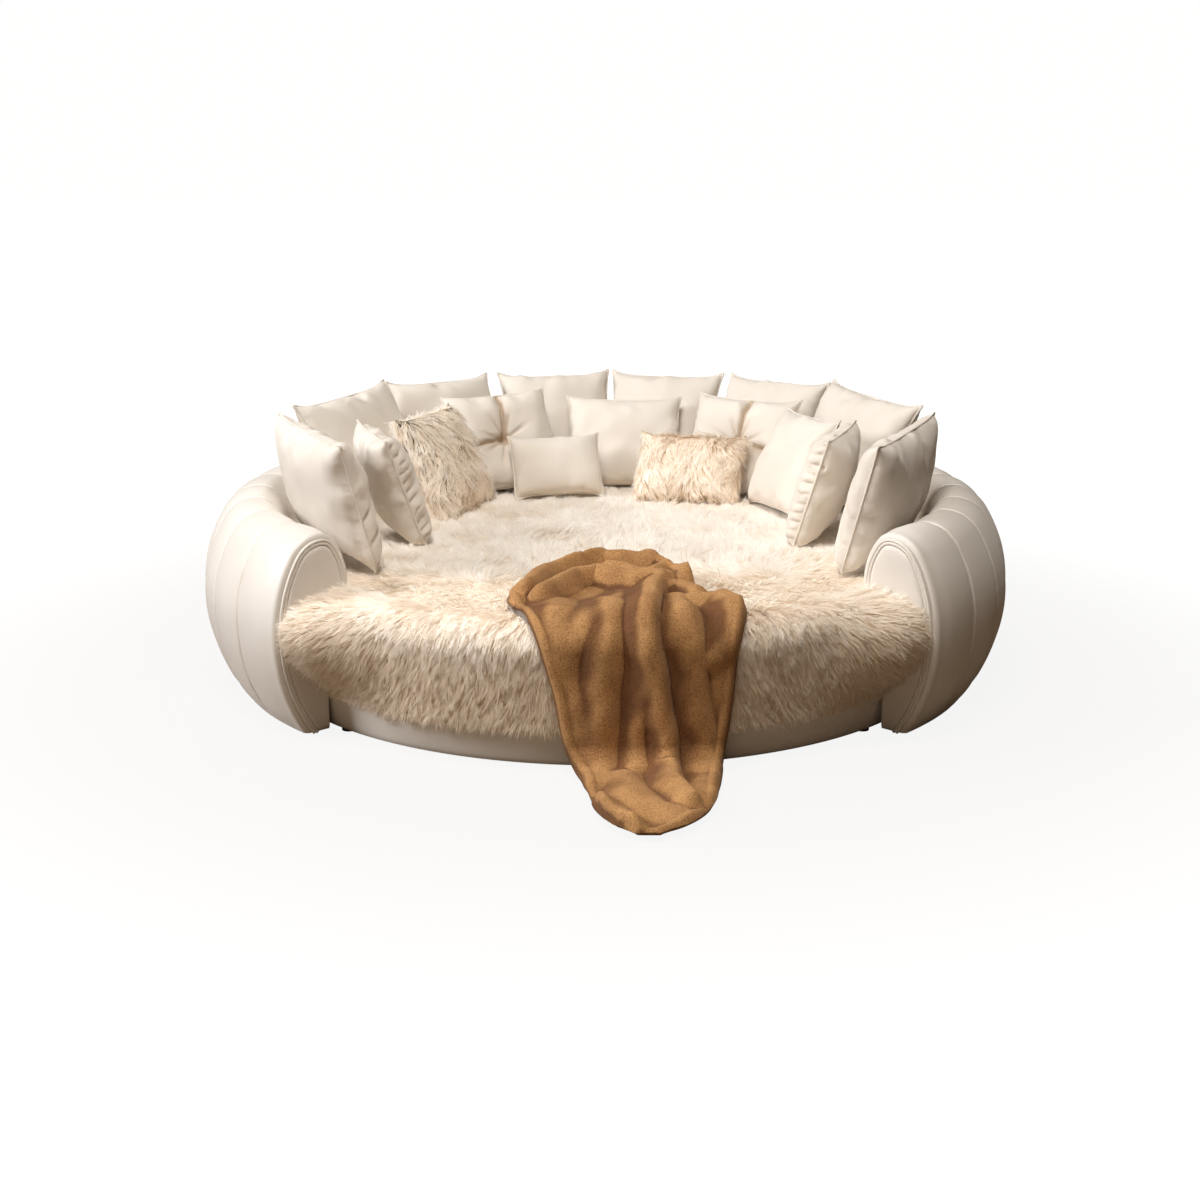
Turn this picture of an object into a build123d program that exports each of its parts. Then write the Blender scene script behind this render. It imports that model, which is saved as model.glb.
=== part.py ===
from build123d import *
import os
from math import asin, atan2, cos, degrees, radians, sin, sqrt

# Round lounge bed. Millimetres, +Z up. The open front faces -Y, and the origin lies on the
# floor at the middle of the round base. Bearings are degrees from the open front towards +X.

# Clearances
fit_gap = 0.3  # between pieces that seat on each other
open_gap = 6.0  # between the mattress and the padded walls round it
deck_gap = 1.0  # between the two halves of the deck

# Glides that the base and the bolster stand on
glide_height = 6.0
glide_radius = 22.0

# Round base: a wooden drum with a ledge, a padded apron round it and two crossed boards
base_top_radius = 1165.0
base_taper = 24.0  # how much smaller the base is at its foot
base_height = 225.0
apron_padding = 22.0
apron_belly_share = 0.75
drum_thickness = 24.0
ledge_width = 60.0
ledge_thickness = 20.0
deck_thickness = 18.0
board_thickness = 24.0
board_bearing = 45.0
strap_height = 90.0
strap_thickness = 4.0
strap_turn = 9.0

# Bolster: a padded C that hooks over the rim of the base, sewn in equal panels
cap_bearing = 46.9
arm_panel_count = 7
back_panel_count = 6
rim_lap = 93.0  # from the rim of the base inwards to the inner side
inner_width = 103.0  # from the inner side out to the crest
outer_width = 175.0  # from the crest out to the bulge
foot_tuck = 100.0  # from the bulge back in to the foot
bulge_height = 325.0
crown_rise = 297.0  # from the bulge up to the crest
shoulder_drop = 162.0  # from the crest down to the inner shoulder
crest_roundness_share = 0.7
padding = 45.0
lining = 4.0
seam_width = 5.0
seam_depth = 5.0

# Rounded ends of the arms, with a double welt round a padded cap
end_rounding = 16.0
end_steps = 3
end_padding = 48.0
welt_radius = 5.0
welt_lap = 1.0
cap_crown = 11.0
cap_draw = 9.0

# Wooden carcass inside each section of the bolster
rib_thickness = 18.0
ribs_per_section = 3
rail_thickness = 18.0
rail_width = 80.0
rail_inset = 3.0  # how far the rails stay inside the outline of the ribs
bolt_radius = 5.0
bolt_head_radius = 10.0
bolt_head_height = 6.0
bolt_place_shares = {"lower": (0.16, 0.42), "upper": (0.30, 0.78)}  # out from the crest, up to the crest

# Mattress and the fur cover over it
mattress_height = 200.0
mattress_round = 60.0
mattress_back_round = 12.0
fur_thickness = 20.0
fur_flare = 6.0
skirt_height = 325.0
wing_reach = 145.0  # how far the fur swells out in front of the caps
wing_turn = 17.0  # bearing over which it swells
wing_drop = 105.0  # from the top of the fur down to the tip of the swelling
wing_lift = 45.0  # how much higher its lower edge lies than the skirt's

# Throw, lying over the front edge and down to the floor
throw_ply = 10.0
throw_fold = 58.0
throw_gap = 3.0  # clear of the fur where the throw bends and hangs
throw_width = 700.0
throw_reach = 540.0
throw_trail = 505.0
throw_floor_gap = 2.0
throw_bends = 5

# Cushions: corner to corner width and height, and thickness
ring_size = (458.0, 465.0, 150.0)
flank_size = (560.0, 455.0, 160.0)
side_size = (640.0, 435.0, 180.0)
gathered_size = (430.0, 390.0, 160.0)
square_size = (430.0, 385.0, 140.0)
shag_size = (450.0, 395.0, 130.0)
tufted_size = (426.0, 406.0, 130.0)
centre_size = (450.0, 380.0, 130.0)
lumbar_size = (355.0, 262.0, 110.0)
shag_lumbar_size = (405.0, 275.0, 115.0)
corner_draw = 16.0  # how far each side is drawn in between its corners
tuft_radius = 70.0
tuft_depth = 24.0
pleat_radius = 13.0
pleat_length = 120.0

# How a cushion closes from its crown to its seam: half thickness, outline and draw shares
crown_shares = (
    (1.00, 0.20, -1.0),
    (0.93, 0.46, -0.9),
    (0.78, 0.70, -0.5),
    (0.55, 0.86, 0.1),
    (0.30, 0.955, 0.7),
    (0.00, 1.00, 1.0),
)

# Cushion places: size, width of the foot as a share, bearing from the back, distance from the
# axis as a share of the mattress, and the turn, lean and tilt in degrees
cushion_place_shares = {
    "cushion_back_left_outer": (flank_size, 0.84, -61.0, 0.837, 60.3, 28.1, -3.0),
    "cushion_back_left_mid": (ring_size, 0.80, -34.9, 0.874, 35.1, 28.3, 0.0),
    "cushion_back_left_inner": (ring_size, 0.80, -9.9, 0.881, 12.6, 28.5, 0.0),
    "cushion_back_right_inner": (ring_size, 0.80, 12.1, 0.882, -13.6, 28.6, 0.0),
    "cushion_back_right_mid": (ring_size, 0.80, 35.5, 0.882, -37.6, 28.4, 0.0),
    "cushion_back_right_outer": (flank_size, 0.84, 61.2, 0.855, -61.2, 28.1, 3.0),
    "cushion_arm_left": (side_size, 1.0, -111.3, 0.854, 116.2, 15.0, -1.3),
    "cushion_arm_right": (side_size, 1.0, 111.7, 0.870, -114.8, 15.1, 1.5),
    "cushion_gathered_left": (gathered_size, 1.0, -92.8, 0.628, 109.7, 19.1, -0.8),
    "cushion_gathered_right": (gathered_size, 1.0, 94.9, 0.647, -109.3, 17.0, 0.3),
    "cushion_shag_square": (shag_size, 1.0, -53.3, 0.589, 70.1, 25.7, 0.0),
    "cushion_square_right": (square_size, 1.0, 62.2, 0.632, -72.0, 26.1, -2.3),
    "cushion_square_centre": (centre_size, 1.0, 4.8, 0.726, -2.5, 28.5, 0.0),
    "cushion_tufted_left": (tufted_size, 1.0, -27.1, 0.716, 23.7, 28.4, -2.0),
    "cushion_tufted_right": (tufted_size, 1.0, 37.0, 0.726, -28.3, 27.7, 0.0),
    "cushion_lumbar_plain": (lumbar_size, 1.0, -16.7, 0.557, 10.2, 32.6, -1.0),
    "cushion_lumbar_shag": (shag_lumbar_size, 1.0, 30.2, 0.554, -12.5, 30.8, 0.7),
}
tufted_cushions = ("cushion_tufted_left", "cushion_tufted_right")

# How the fur swells towards the caps: share of the turn, share of the reach
wing_shares = ((0.0, 0.0), (0.3, 0.1), (0.55, 0.42), (0.8, 0.85), (1.0, 1.0))

# Folds across the throw: the width of each, and per station its place along the way, its
# middle and width as shares of the throw's width, and the height of each fold
fold_width_shares = (0.17, 0.22, 0.25, 0.19, 0.17)
throw_lying_shares = (
    (0.00, 0.02, 0.62, (0.3, 0.5, 0.8, 0.5, 0.3)),
    (0.22, 0.04, 0.94, (0.7, 0.9, 0.4, 1.0, 0.6)),
    (0.46, 0.08, 1.00, (0.9, 0.4, 1.0, 0.6, 0.9)),
    (0.72, 0.11, 0.92, (0.5, 0.7, 0.6, 0.9, 0.5)),
    (1.00, 0.15, 0.76, (0.4, 0.5, 0.7, 0.6, 0.4)),
)
throw_hanging_shares = (
    (0.00, 0.17, 0.72, (0.3, 0.5, 0.7, 0.5, 0.3)),
    (0.45, 0.18, 0.68, (0.4, 0.6, 0.8, 0.5, 0.4)),
    (1.00, 0.19, 0.62, (0.4, 0.7, 0.8, 0.6, 0.3)),
)
throw_trailing_shares = (
    (0.13, 0.18, 0.58, (0.4, 0.7, 0.8, 0.6, 0.3)),
    (0.42, 0.18, 0.54, (0.3, 0.6, 0.8, 0.5, 0.4)),
    (1.00, 0.17, 0.40, (0.2, 0.4, 0.5, 0.3, 0.2)),
)
throw_landing_shares = ((40.0, 0.35), (0.0, 0.0), (0.0, 0.0))  # slope in degrees and rise off the floor, per station

# Sizes that follow from the ones above
base_foot_radius = base_top_radius - base_taper
bolster_inner_radius = base_top_radius - rim_lap
crest_radius = bolster_inner_radius + inner_width
bolster_radius = crest_radius + outer_width
bolster_foot_radius = bolster_radius - foot_tuck
crest_height = bulge_height + crown_rise
shoulder_height = crest_height - shoulder_drop
hook_height = base_height + fit_gap
hook_radius = base_top_radius + fit_gap
foot_arc_radius = (foot_tuck**2 + (bulge_height - glide_height) ** 2) / (2 * foot_tuck)
panel_turn = (180 - cap_bearing) / (arm_panel_count + back_panel_count)
arm_end_bearing = cap_bearing + arm_panel_count * panel_turn
drum_radius = base_foot_radius - apron_padding - fit_gap
drum_inner_radius = drum_radius - drum_thickness
ledge_height = base_height - deck_thickness - fit_gap
mattress_base = base_height + fit_gap
mattress_top = mattress_base + mattress_height
mattress_radius = bolster_inner_radius - open_gap
side_gap = 2 * welt_radius + cap_crown + open_gap
front_turn = cap_bearing - degrees(side_gap / base_top_radius)
fur_base = mattress_top + fit_gap
fur_top = fur_base + fur_thickness
fur_radius = base_top_radius + fit_gap + fur_thickness


def bearing_plane(bearing):
    """Upright plane through the bed's axis: its X runs outwards at the bearing, its Y runs up."""
    out = Vector(sin(radians(bearing)), -cos(radians(bearing)), 0)
    return Plane(origin=(0, 0, 0), x_dir=out, z_dir=(out.Y, -out.X, 0))


def turned(section, start, end):
    """The section, drawn outwards and up, swept round the bed from one bearing to another."""
    return revolve(bearing_plane(start).location * section, axis=Axis.Z, revolution_arc=end - start)


def mirrored(shape):
    """The same piece on the other side of the bed."""
    return mirror(shape, about=Plane.YZ)


def polygon(points):
    """A flat face with straight sides through the points."""
    return Face(Wire.make_polygon([(x, y, 0) for x, y in points], close=True))


def oval_quarter(middle, half_width, half_height, inset, side):
    """Two tangent arcs between the side of an oval and its top; side is 1 outside, -1 inside."""
    small = crest_roundness_share * half_width
    large = (half_width**2 + half_height**2 - 2 * half_height * small) / (2 * (half_width - small))
    turn = degrees(atan2(half_height - small, large - half_width))
    flank = (middle[0] + side * (half_width - large), middle[1])
    crest = (middle[0], middle[1] + half_height - small)
    if side > 0:
        return [
            CenterArc(flank, large - inset, 0, turn),
            CenterArc(crest, small - inset, turn, 90 - turn),
        ]
    return [
        CenterArc(crest, small - inset, 90, 90 - turn),
        CenterArc(flank, large - inset, 180 - turn, turn),
    ]


def bolster_crown(inset, under):
    """The visible outline of the bolster from its outer foot over the crest to the inner shoulder."""
    arc_radius = foot_arc_radius - inset
    dip = degrees(asin((bulge_height - glide_height - under) / arc_radius))
    foot = CenterArc((bolster_radius - foot_arc_radius, bulge_height), arc_radius, -dip, dip)
    outer = oval_quarter((crest_radius, bulge_height), outer_width, crown_rise, inset, 1)
    inner = oval_quarter((crest_radius, shoulder_height), inner_width, shoulder_drop, inset, -1)
    return [foot] + outer + inner


def bolster_section(inset, under):
    """Section of the bolster with its padded faces moved in by inset and its hidden ones by under."""
    crown = bolster_crown(inset, under)
    shoulder = crown[-1] @ 1
    hidden = Polyline(
        shoulder,
        (shoulder.X, hook_height + under),
        (hook_radius + under, hook_height + under),
        (hook_radius + under, glide_height + under),
        crown[0] @ 0,
    )
    return Face(Wire(crown + list(hidden.edges())))


def seam_groove(bearing):
    """The thin ring that a sewn seam draws into the padded faces."""
    ring = bolster_section(-seam_depth, 0) - bolster_section(seam_depth, 0)
    groove = bearing_plane(bearing).location * ring
    return extrude(groove, amount=seam_width / 2, both=True)


def arm_end():
    """The padded end of an arm, rounded towards the plane of its cap."""
    layers = []
    for step in range(end_steps + 1):
        roll = radians(90 * step / end_steps)
        back = end_rounding * (1 - sin(roll))
        bearing = cap_bearing + degrees(back / crest_radius)
        layers.append(bearing_plane(bearing).location * bolster_section(end_rounding * (1 - cos(roll)), 0))
    return loft(layers, ruled=True)


def padded_cover(start, end, panels):
    """Padding and cover of one bolster section, hollow for its carcass, with a seam between panels."""
    cover = turned(bolster_section(0, 0) - bolster_section(padding, lining), start, end)
    for panel in range(1, panels):
        cover -= seam_groove(end - panel * panel_turn)
    return cover


def carcass(start, end):
    """Glued wooden ribs and rails that fill out one bolster section."""
    room = bolster_section(padding + fit_gap, lining + fit_gap)
    rail_room = bolster_section(padding + rail_inset, lining + rail_inset)
    low = glide_height + lining + rail_inset
    shelf = hook_height + lining + rail_inset
    inner = bolster_inner_radius + padding
    rails = [
        (hook_radius, low, bolster_radius - hook_radius, rail_thickness),
        (inner, shelf, hook_radius + rail_width - inner, rail_thickness),
        (crest_radius - rail_width / 2, crest_height - padding - 2 * rail_thickness, rail_width, rail_thickness),
        (bolster_radius - padding - 2 * rail_thickness, bulge_height - rail_width / 2, 2 * rail_thickness, rail_width),
    ]
    inset_turn = degrees(rib_thickness / 2 / bolster_inner_radius)
    frame = []
    for x, y, width, height in rails:
        bar = polygon([(x, y), (x + width, y), (x + width, y + height), (x, y + height)])
        frame.append(turned(bar & rail_room, start + inset_turn, end - inset_turn))
    wood = frame[0] + frame[1:]
    for rib in range(ribs_per_section):
        bearing = start + inset_turn + rib * (end - start - 2 * inset_turn) / (ribs_per_section - 1)
        wood += extrude(bearing_plane(bearing).location * room, amount=rib_thickness / 2, both=True)
    return wood


def bolt_and_hole(bearing, out_share, up_share):
    """A bolt with a round head and nut through the two ribs that meet at a bearing, and its hole."""
    out = crest_radius + out_share * outer_width
    plane = bearing_plane(bearing)
    middle = plane.from_local_coords((out, up_share * crest_height, 0))
    frame = Plane(origin=middle, x_dir=plane.x_dir, z_dir=plane.z_dir).location
    reach = rib_thickness / 2 * (1 + out / bolster_inner_radius) + fit_gap
    shape = Cylinder(bolt_radius, 2 * reach)
    for side in (-1, 1):
        shape += Pos(0, 0, side * (reach + bolt_head_height / 2)) * Cylinder(bolt_head_radius, bolt_head_height)
    return frame * shape, frame * Cylinder(bolt_radius + fit_gap, 2 * (reach + bolt_head_height))


def welt(out):
    """Two sewn cords side by side over the arch of the cap."""
    cords = []
    for cord in range(2):
        inset = end_rounding + welt_radius + cord * (2 * welt_radius - welt_lap)
        plane = bearing_plane(cap_bearing).offset(out)
        crown = bolster_crown(inset, 0)
        shoulder = crown[-1] @ 1
        path = Wire(crown + [Line(shoulder, (shoulder.X, hook_height))])
        start = plane.location * Plane(origin=path @ 0, z_dir=path % 0).location
        cords.append(sweep(start * Face(Wire.make_circle(welt_radius)), path=plane.location * path))
    return cords[0] + cords[1]


def end_cap():
    """Padded panel that closes the end of an arm inside the welt."""
    inset = end_rounding + 4 * welt_radius - welt_lap + fit_gap
    plane = bearing_plane(cap_bearing)
    layers = [
        plane.location * bolster_section(inset, lining),
        plane.offset(cap_crown * 0.6).location * bolster_section(inset + cap_draw / 6, lining),
        plane.offset(cap_crown).location * bolster_section(inset + cap_draw, lining),
    ]
    return loft(layers, ruled=True)


def rounded_disc_section(radius, low, high, rounding):
    """Half section of a disc with a rounded upper edge."""
    outline = [
        Line((0, low), (radius, low)),
        Line((radius, low), (radius, high - rounding)),
        CenterArc((radius - rounding, high - rounding), rounding, 0, 90),
        Line((radius - rounding, high), (0, high)),
        Line((0, high), (0, low)),
    ]
    return Face(Wire(outline))


def fur_front_section():
    """Half section of the cover over the front edge: flat top, rounded edge and hanging skirt."""
    inner = base_top_radius + fit_gap
    low = fur_top - skirt_height
    turn = mattress_round + fur_thickness
    outline = [
        Line((0, fur_top), (fur_radius - turn, fur_top)),
        CenterArc((fur_radius - turn, fur_top - turn), turn, 0, 90),
        Line((fur_radius, fur_top - turn), (fur_radius + fur_flare, low)),
        Line((fur_radius + fur_flare, low), (inner + fur_flare, low)),
        Line((inner + fur_flare, low), (inner, fur_top - turn)),
        CenterArc((inner - mattress_round, fur_top - turn), mattress_round, 0, 90),
        Line((inner - mattress_round, fur_base), (0, fur_base)),
        Line((0, fur_base), (0, fur_top)),
    ]
    return Face(Wire(outline))


def fur_wing():
    """The swelling of the cover in front of one cap, lofted towards it through widening sections."""
    inner = base_top_radius + fit_gap
    brow = (inner - mattress_round, fur_top)
    tip_height = fur_top - wing_drop
    low = fur_top - skirt_height + wing_lift
    sections = []
    for turn_share, reach_share in wing_shares:
        tip = (fur_radius + reach_share * wing_reach, tip_height)
        above = (brow[0] + 0.74 * (tip[0] - brow[0]), fur_top - 0.27 * wing_drop)
        hem = (fur_radius + fur_flare, low)
        below = ((tip[0] + hem[0]) / 2 + fur_flare, (tip_height + low) / 2)
        outline = [
            ThreePointArc(brow, above, tip),
            ThreePointArc(tip, below, hem),
            *Polyline(hem, (inner + fur_flare, low), (inner, tip_height), (brow[0], fur_base), brow).edges(),
        ]
        place = bearing_plane(front_turn - (1 - turn_share) * wing_turn).location
        sections.append(place * Face(Wire(outline)))
    bed = rounded_disc_section(inner, mattress_base, fur_base, mattress_round)
    return loft(sections, ruled=True) - turned(bed, front_turn - wing_turn, front_turn)


def throw_station(place, tilt, middle_share, width_share, folds):
    """One cross section of the throw: a flat inner side along the bed and rounded folds outside."""
    outside, up = place
    middle = middle_share * throw_width
    half = width_share * throw_width / 2
    lift = Vector(0, -sin(radians(tilt)), cos(radians(tilt)))
    plane = Plane(origin=(0, -outside, up), x_dir=(1, 0, 0), z_dir=Vector(1, 0, 0).cross(lift))

    def back(x):
        return (x, sin(radians(tilt)) * (sqrt(outside**2 - x**2) - outside))

    left, right = middle - half, middle + half
    inner = ThreePointArc(back(left), back(middle), back(right)) if tilt > 0 else Line(back(left), back(right))
    edges = [inner]
    corner = (right, back(right)[1] + throw_ply)
    edges.append(Line(back(right), corner))
    x = right
    for width, height in zip(reversed(fold_width_shares), reversed(folds)):
        step = width * 2 * half
        peak = (x - step / 2, back(x - step / 2)[1] + throw_ply + height * throw_fold)
        x -= step
        end = (x, back(x)[1] + throw_ply)
        edges.append(ThreePointArc(corner, peak, end))
        corner = end
    edges.append(Line(corner, back(left)))
    return plane.location * Face(Wire(edges))


def throw():
    """The throw from its gathered end on the bed, over the edge, down and out over the floor."""
    turn = mattress_round + fur_thickness
    rest = fur_top + fit_gap
    brow = fur_radius - turn
    face = fur_radius + fur_flare + throw_gap
    drop = rest - turn
    foot = throw_floor_gap + throw_fold
    stations = []
    for run, middle, width, folds in throw_lying_shares:
        outside = brow - (1 - run) * throw_reach
        stations.append(throw_station((outside, rest), 0, middle, width, folds))
    for step in range(1, throw_bends):
        lean = 90 * step / throw_bends
        outside = brow + (turn + throw_gap) * sin(radians(lean))
        up = fur_top - turn + (turn + throw_gap) * cos(radians(lean))
        stations.append(throw_station((outside, up), lean, *throw_hanging_shares[0][1:]))
    for run, middle, width, folds in throw_hanging_shares:
        stations.append(throw_station((face, drop + run * (foot - drop)), 90, middle, width, folds))
    for (run, middle, width, folds), (tilt, rise) in zip(throw_trailing_shares, throw_landing_shares):
        place = (face + run * throw_trail, throw_floor_gap + rise * throw_fold)
        stations.append(throw_station(place, tilt, middle, width, folds))
    return loft(stations, ruled=True)


def cushion_outline(size, foot, scale, draw):
    """Seam line of a cushion: four shallow arcs between its corners, scaled about its middle."""
    width, height, _ = size
    bottom = foot * width / 2 * scale
    top = width / 2 * scale
    low = height / 2 * (1 - scale)
    high = height / 2 * (1 + scale)
    pull = corner_draw * draw * scale
    middle = (bottom + top) / 2
    corners = [(-bottom, low), (bottom, low), (top, high), (-top, high)]
    mids = [(0, low + pull), (middle - pull, height / 2), (0, high - pull), (pull - middle, height / 2)]
    arcs = [ThreePointArc(corners[i], mids[i], corners[(i + 1) % 4]) for i in range(4)]
    return Face(Wire(arcs))


def cushion(size, foot, tufted):
    """A stuffed cushion standing on its lower seam, facing -Y: crown, drawn-in sides and corners."""
    half = size[2] / 2
    layers = []
    for side in (1, -1):
        for depth, scale, draw in crown_shares if side > 0 else crown_shares[-2::-1]:
            plane = Plane.XZ.offset(side * depth * half)
            layers.append(plane.location * cushion_outline(size, foot, scale, draw))
    body = loft(layers, ruled=True)
    if tufted:
        front = Pos(0, -half, size[1] / 2)
        body -= front * Pos(0, tuft_depth - tuft_radius, 0) * Sphere(tuft_radius)
        for turn in range(4):
            pleat = Pos(0, 0, pleat_length / 2) * Cone(pleat_radius, pleat_radius / 4, pleat_length)
            body -= front * Rot(0, 45 + 90 * turn, 0) * pleat
    return body


def placed(body, bearing, distance, turn, lean, tilt):
    """The cushion tilted, leaned back and turned, standing on the fur at its place."""
    spot = Rot(0, 0, turn) * Rot(-lean, 0, 0) * Rot(0, tilt, 0) * body
    out = distance * mattress_radius
    spot = Pos(out * sin(radians(bearing)), out * cos(radians(bearing)), 0) * spot
    return Pos(0, 0, fur_top + fit_gap - spot.bounding_box().min.Z) * spot


def base_pieces():
    """The drum, its ledge and its apron in two halves each, the crossed boards, the straps and the deck."""
    pieces = {}
    apron_inner = base_foot_radius - apron_padding
    belly = (base_foot_radius + apron_belly_share * (base_top_radius - base_foot_radius), base_height / 2)
    apron = Face(
        Wire(
            [
                Line((apron_inner, glide_height), (base_foot_radius, glide_height)),
                ThreePointArc((base_foot_radius, glide_height), belly, (base_top_radius, base_height)),
                Line((base_top_radius, base_height), (apron_inner, base_height)),
                Line((apron_inner, base_height), (apron_inner, glide_height)),
            ]
        )
    )
    reach = drum_inner_radius - fit_gap
    ledge_inner = drum_inner_radius - ledge_width
    drum = polygon(
        [
            (drum_radius, glide_height),
            (drum_radius, base_height),
            (drum_inner_radius, base_height),
            (drum_inner_radius, glide_height),
        ]
    )
    ledge = polygon(
        [
            (reach, ledge_height - ledge_thickness),
            (reach, ledge_height),
            (ledge_inner, ledge_height),
            (ledge_inner, ledge_height - ledge_thickness),
        ]
    )
    for name, start in (("front", -90), ("back", 90)):
        pieces["apron_" + name] = turned(apron, start, start + 180)
        pieces["drum_" + name] = turned(drum, start, start + 180)
        pieces["ledge_" + name] = turned(ledge, start, start + 180)

    rim = Cylinder(reach, base_height, align=(Align.CENTER, Align.CENTER, Align.MIN))
    notch = turned(
        polygon(
            [
                (ledge_inner - fit_gap, ledge_height - ledge_thickness - fit_gap),
                (drum_radius, ledge_height - ledge_thickness - fit_gap),
                (drum_radius, base_height),
                (ledge_inner - fit_gap, base_height),
            ]
        ),
        0,
        360,
    )
    board_height = ledge_height - glide_height
    lap = board_thickness + 2 * fit_gap
    for name, turn, side in (("board_under", board_bearing, 1), ("board_over", -board_bearing, -1)):
        board = Pos(0, 0, glide_height + board_height / 2) * Box(2 * reach, board_thickness, board_height)
        slot = Pos(0, 0, glide_height + board_height / 2) * Pos(0, 0, side * (board_height / 4 + fit_gap / 2))
        board = (board & rim) - notch - slot * Box(lap, lap, board_height / 2 + fit_gap)
        pieces[name] = Rot(0, 0, turn) * board

    strap = polygon(
        [
            (reach - strap_thickness, base_height / 2 - strap_height / 2),
            (reach, base_height / 2 - strap_height / 2),
            (reach, base_height / 2 + strap_height / 2),
            (reach - strap_thickness, base_height / 2 + strap_height / 2),
        ]
    )
    pieces["strap_right"] = turned(strap, 90 - strap_turn / 2, 90 + strap_turn / 2)
    pieces["strap_left"] = mirrored(pieces["strap_right"])

    deck = Pos(0, 0, base_height - deck_thickness / 2) * Cylinder(reach, deck_thickness)
    for name, side in (("left", -1), ("right", 1)):
        half = Pos(side * (reach + deck_gap) / 2, 0, base_height) * Box(reach, 2 * reach, base_height)
        pieces["deck_" + name] = deck & (Rot(0, 0, -board_bearing) * half)
    return pieces


def bolster_pieces():
    """Covers, carcasses, bolts, caps and welts of the four bolster sections."""
    pieces = {}
    solid_end = cap_bearing + degrees(end_padding / bolster_inner_radius)
    round_end = cap_bearing + degrees(end_rounding / crest_radius)
    arm = padded_cover(solid_end, arm_end_bearing, arm_panel_count)
    arm += turned(bolster_section(0, 0), round_end, solid_end)
    arm += arm_end()
    back = padded_cover(arm_end_bearing, 180, back_panel_count)
    arm_wood = carcass(solid_end + degrees(fit_gap / bolster_inner_radius), arm_end_bearing)
    back_wood = carcass(arm_end_bearing, 180)
    joints = {"side": arm_end_bearing, "rear": 180}
    for name, bearing in joints.items():
        for place, shares in bolt_place_shares.items():
            shape, hole = bolt_and_hole(bearing, *shares)
            arm_wood -= hole
            back_wood -= hole
            if name == "rear":
                pieces["bolt_rear_" + place] = shape
            else:
                pieces["bolt_right_" + place] = shape
                pieces["bolt_left_" + place] = mirrored(shape)
    for name, shape in (
        ("bolster_arm", arm),
        ("bolster_back", back),
        ("carcass_arm", arm_wood),
        ("carcass_back", back_wood),
        ("cap", end_cap()),
        ("welt", welt(welt_radius)),
    ):
        pieces[name + "_right"] = shape
        pieces[name + "_left"] = mirrored(shape)
    return pieces


def soft_pieces():
    """Mattress, fur cover, throw and cushions."""
    pieces = {}
    bed = turned(rounded_disc_section(mattress_radius, mattress_base, mattress_top, mattress_back_round), 0, 360)
    front = rounded_disc_section(base_top_radius, mattress_base, mattress_top, mattress_round)
    pieces["mattress"] = bed + turned(front, -front_turn, front_turn)
    top = Pos(0, 0, fur_base + fur_thickness / 2) * Cylinder(mattress_radius, fur_thickness)
    wing = fur_wing()
    pieces["fur_cover"] = top + turned(fur_front_section(), -front_turn, front_turn) + wing + mirrored(wing)
    pieces["throw"] = throw()
    for name, (size, foot, bearing, distance, turn, lean, tilt) in cushion_place_shares.items():
        body = cushion(size, foot, name in tufted_cushions)
        pieces[name] = placed(body, bearing, distance, turn, lean, tilt)
    return pieces


def glide_pieces():
    """Round glides: one under the crossing, four under the drum and one under each bolster section."""
    disc = Cylinder(glide_radius, glide_height, align=(Align.CENTER, Align.CENTER, Align.MIN))
    places = {"glide_centre": (0, 0)}
    bolster_middle = (hook_radius + bolster_foot_radius) / 2
    for side, sign in (("right", 1), ("left", -1)):
        places["glide_drum_front_" + side] = (drum_radius, sign * 45)
        places["glide_drum_back_" + side] = (drum_radius, sign * 135)
        places["glide_arm_" + side] = (bolster_middle, sign * (cap_bearing + 2 * panel_turn))
        places["glide_back_" + side] = (bolster_middle, sign * (180 - 2 * panel_turn))
    pieces = {}
    for name, (out, bearing) in places.items():
        pieces[name] = Pos(out * sin(radians(bearing)), -out * cos(radians(bearing)), 0) * disc
    return pieces


os.makedirs("parts", exist_ok=True)
for group in (glide_pieces(), base_pieces(), bolster_pieces(), soft_pieces()):
    for node, shape in group.items():
        export_step(shape, "parts/" + node + ".step")
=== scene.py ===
# %% [markdown]
# # A round lounge bed
# The bed is a round padded base and a mattress inside a high padded C, with a long-pile fur cover, a
# ring of cushions and a throw. The CAD model is the fixed frame: it says where each piece is and what
# moves. Here each piece gets the surface and the finish that it has on the real bed.
# The frame is loaded first.

# %% Load the CAD frame
from math import asin, atan2, cos, pi, radians, sin

import bmesh
import bpy
import numpy as np
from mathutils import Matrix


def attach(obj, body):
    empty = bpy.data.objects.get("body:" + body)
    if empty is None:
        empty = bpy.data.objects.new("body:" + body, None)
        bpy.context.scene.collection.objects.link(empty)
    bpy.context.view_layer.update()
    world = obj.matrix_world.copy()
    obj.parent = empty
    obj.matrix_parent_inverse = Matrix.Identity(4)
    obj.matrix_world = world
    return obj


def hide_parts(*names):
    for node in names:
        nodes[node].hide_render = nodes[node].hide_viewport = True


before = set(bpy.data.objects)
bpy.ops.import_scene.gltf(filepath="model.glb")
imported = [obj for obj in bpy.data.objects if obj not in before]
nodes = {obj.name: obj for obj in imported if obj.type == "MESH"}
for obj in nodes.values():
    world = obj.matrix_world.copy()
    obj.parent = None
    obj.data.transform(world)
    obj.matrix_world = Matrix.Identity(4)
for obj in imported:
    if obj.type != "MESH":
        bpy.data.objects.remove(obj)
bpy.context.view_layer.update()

# %% [markdown]
# ## The camera
# The photo looks down at the bed from standing height, about six metres away. The lens and the small
# shift are the ones that put the floor line and the caps of the arms where the photo has them.

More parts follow.
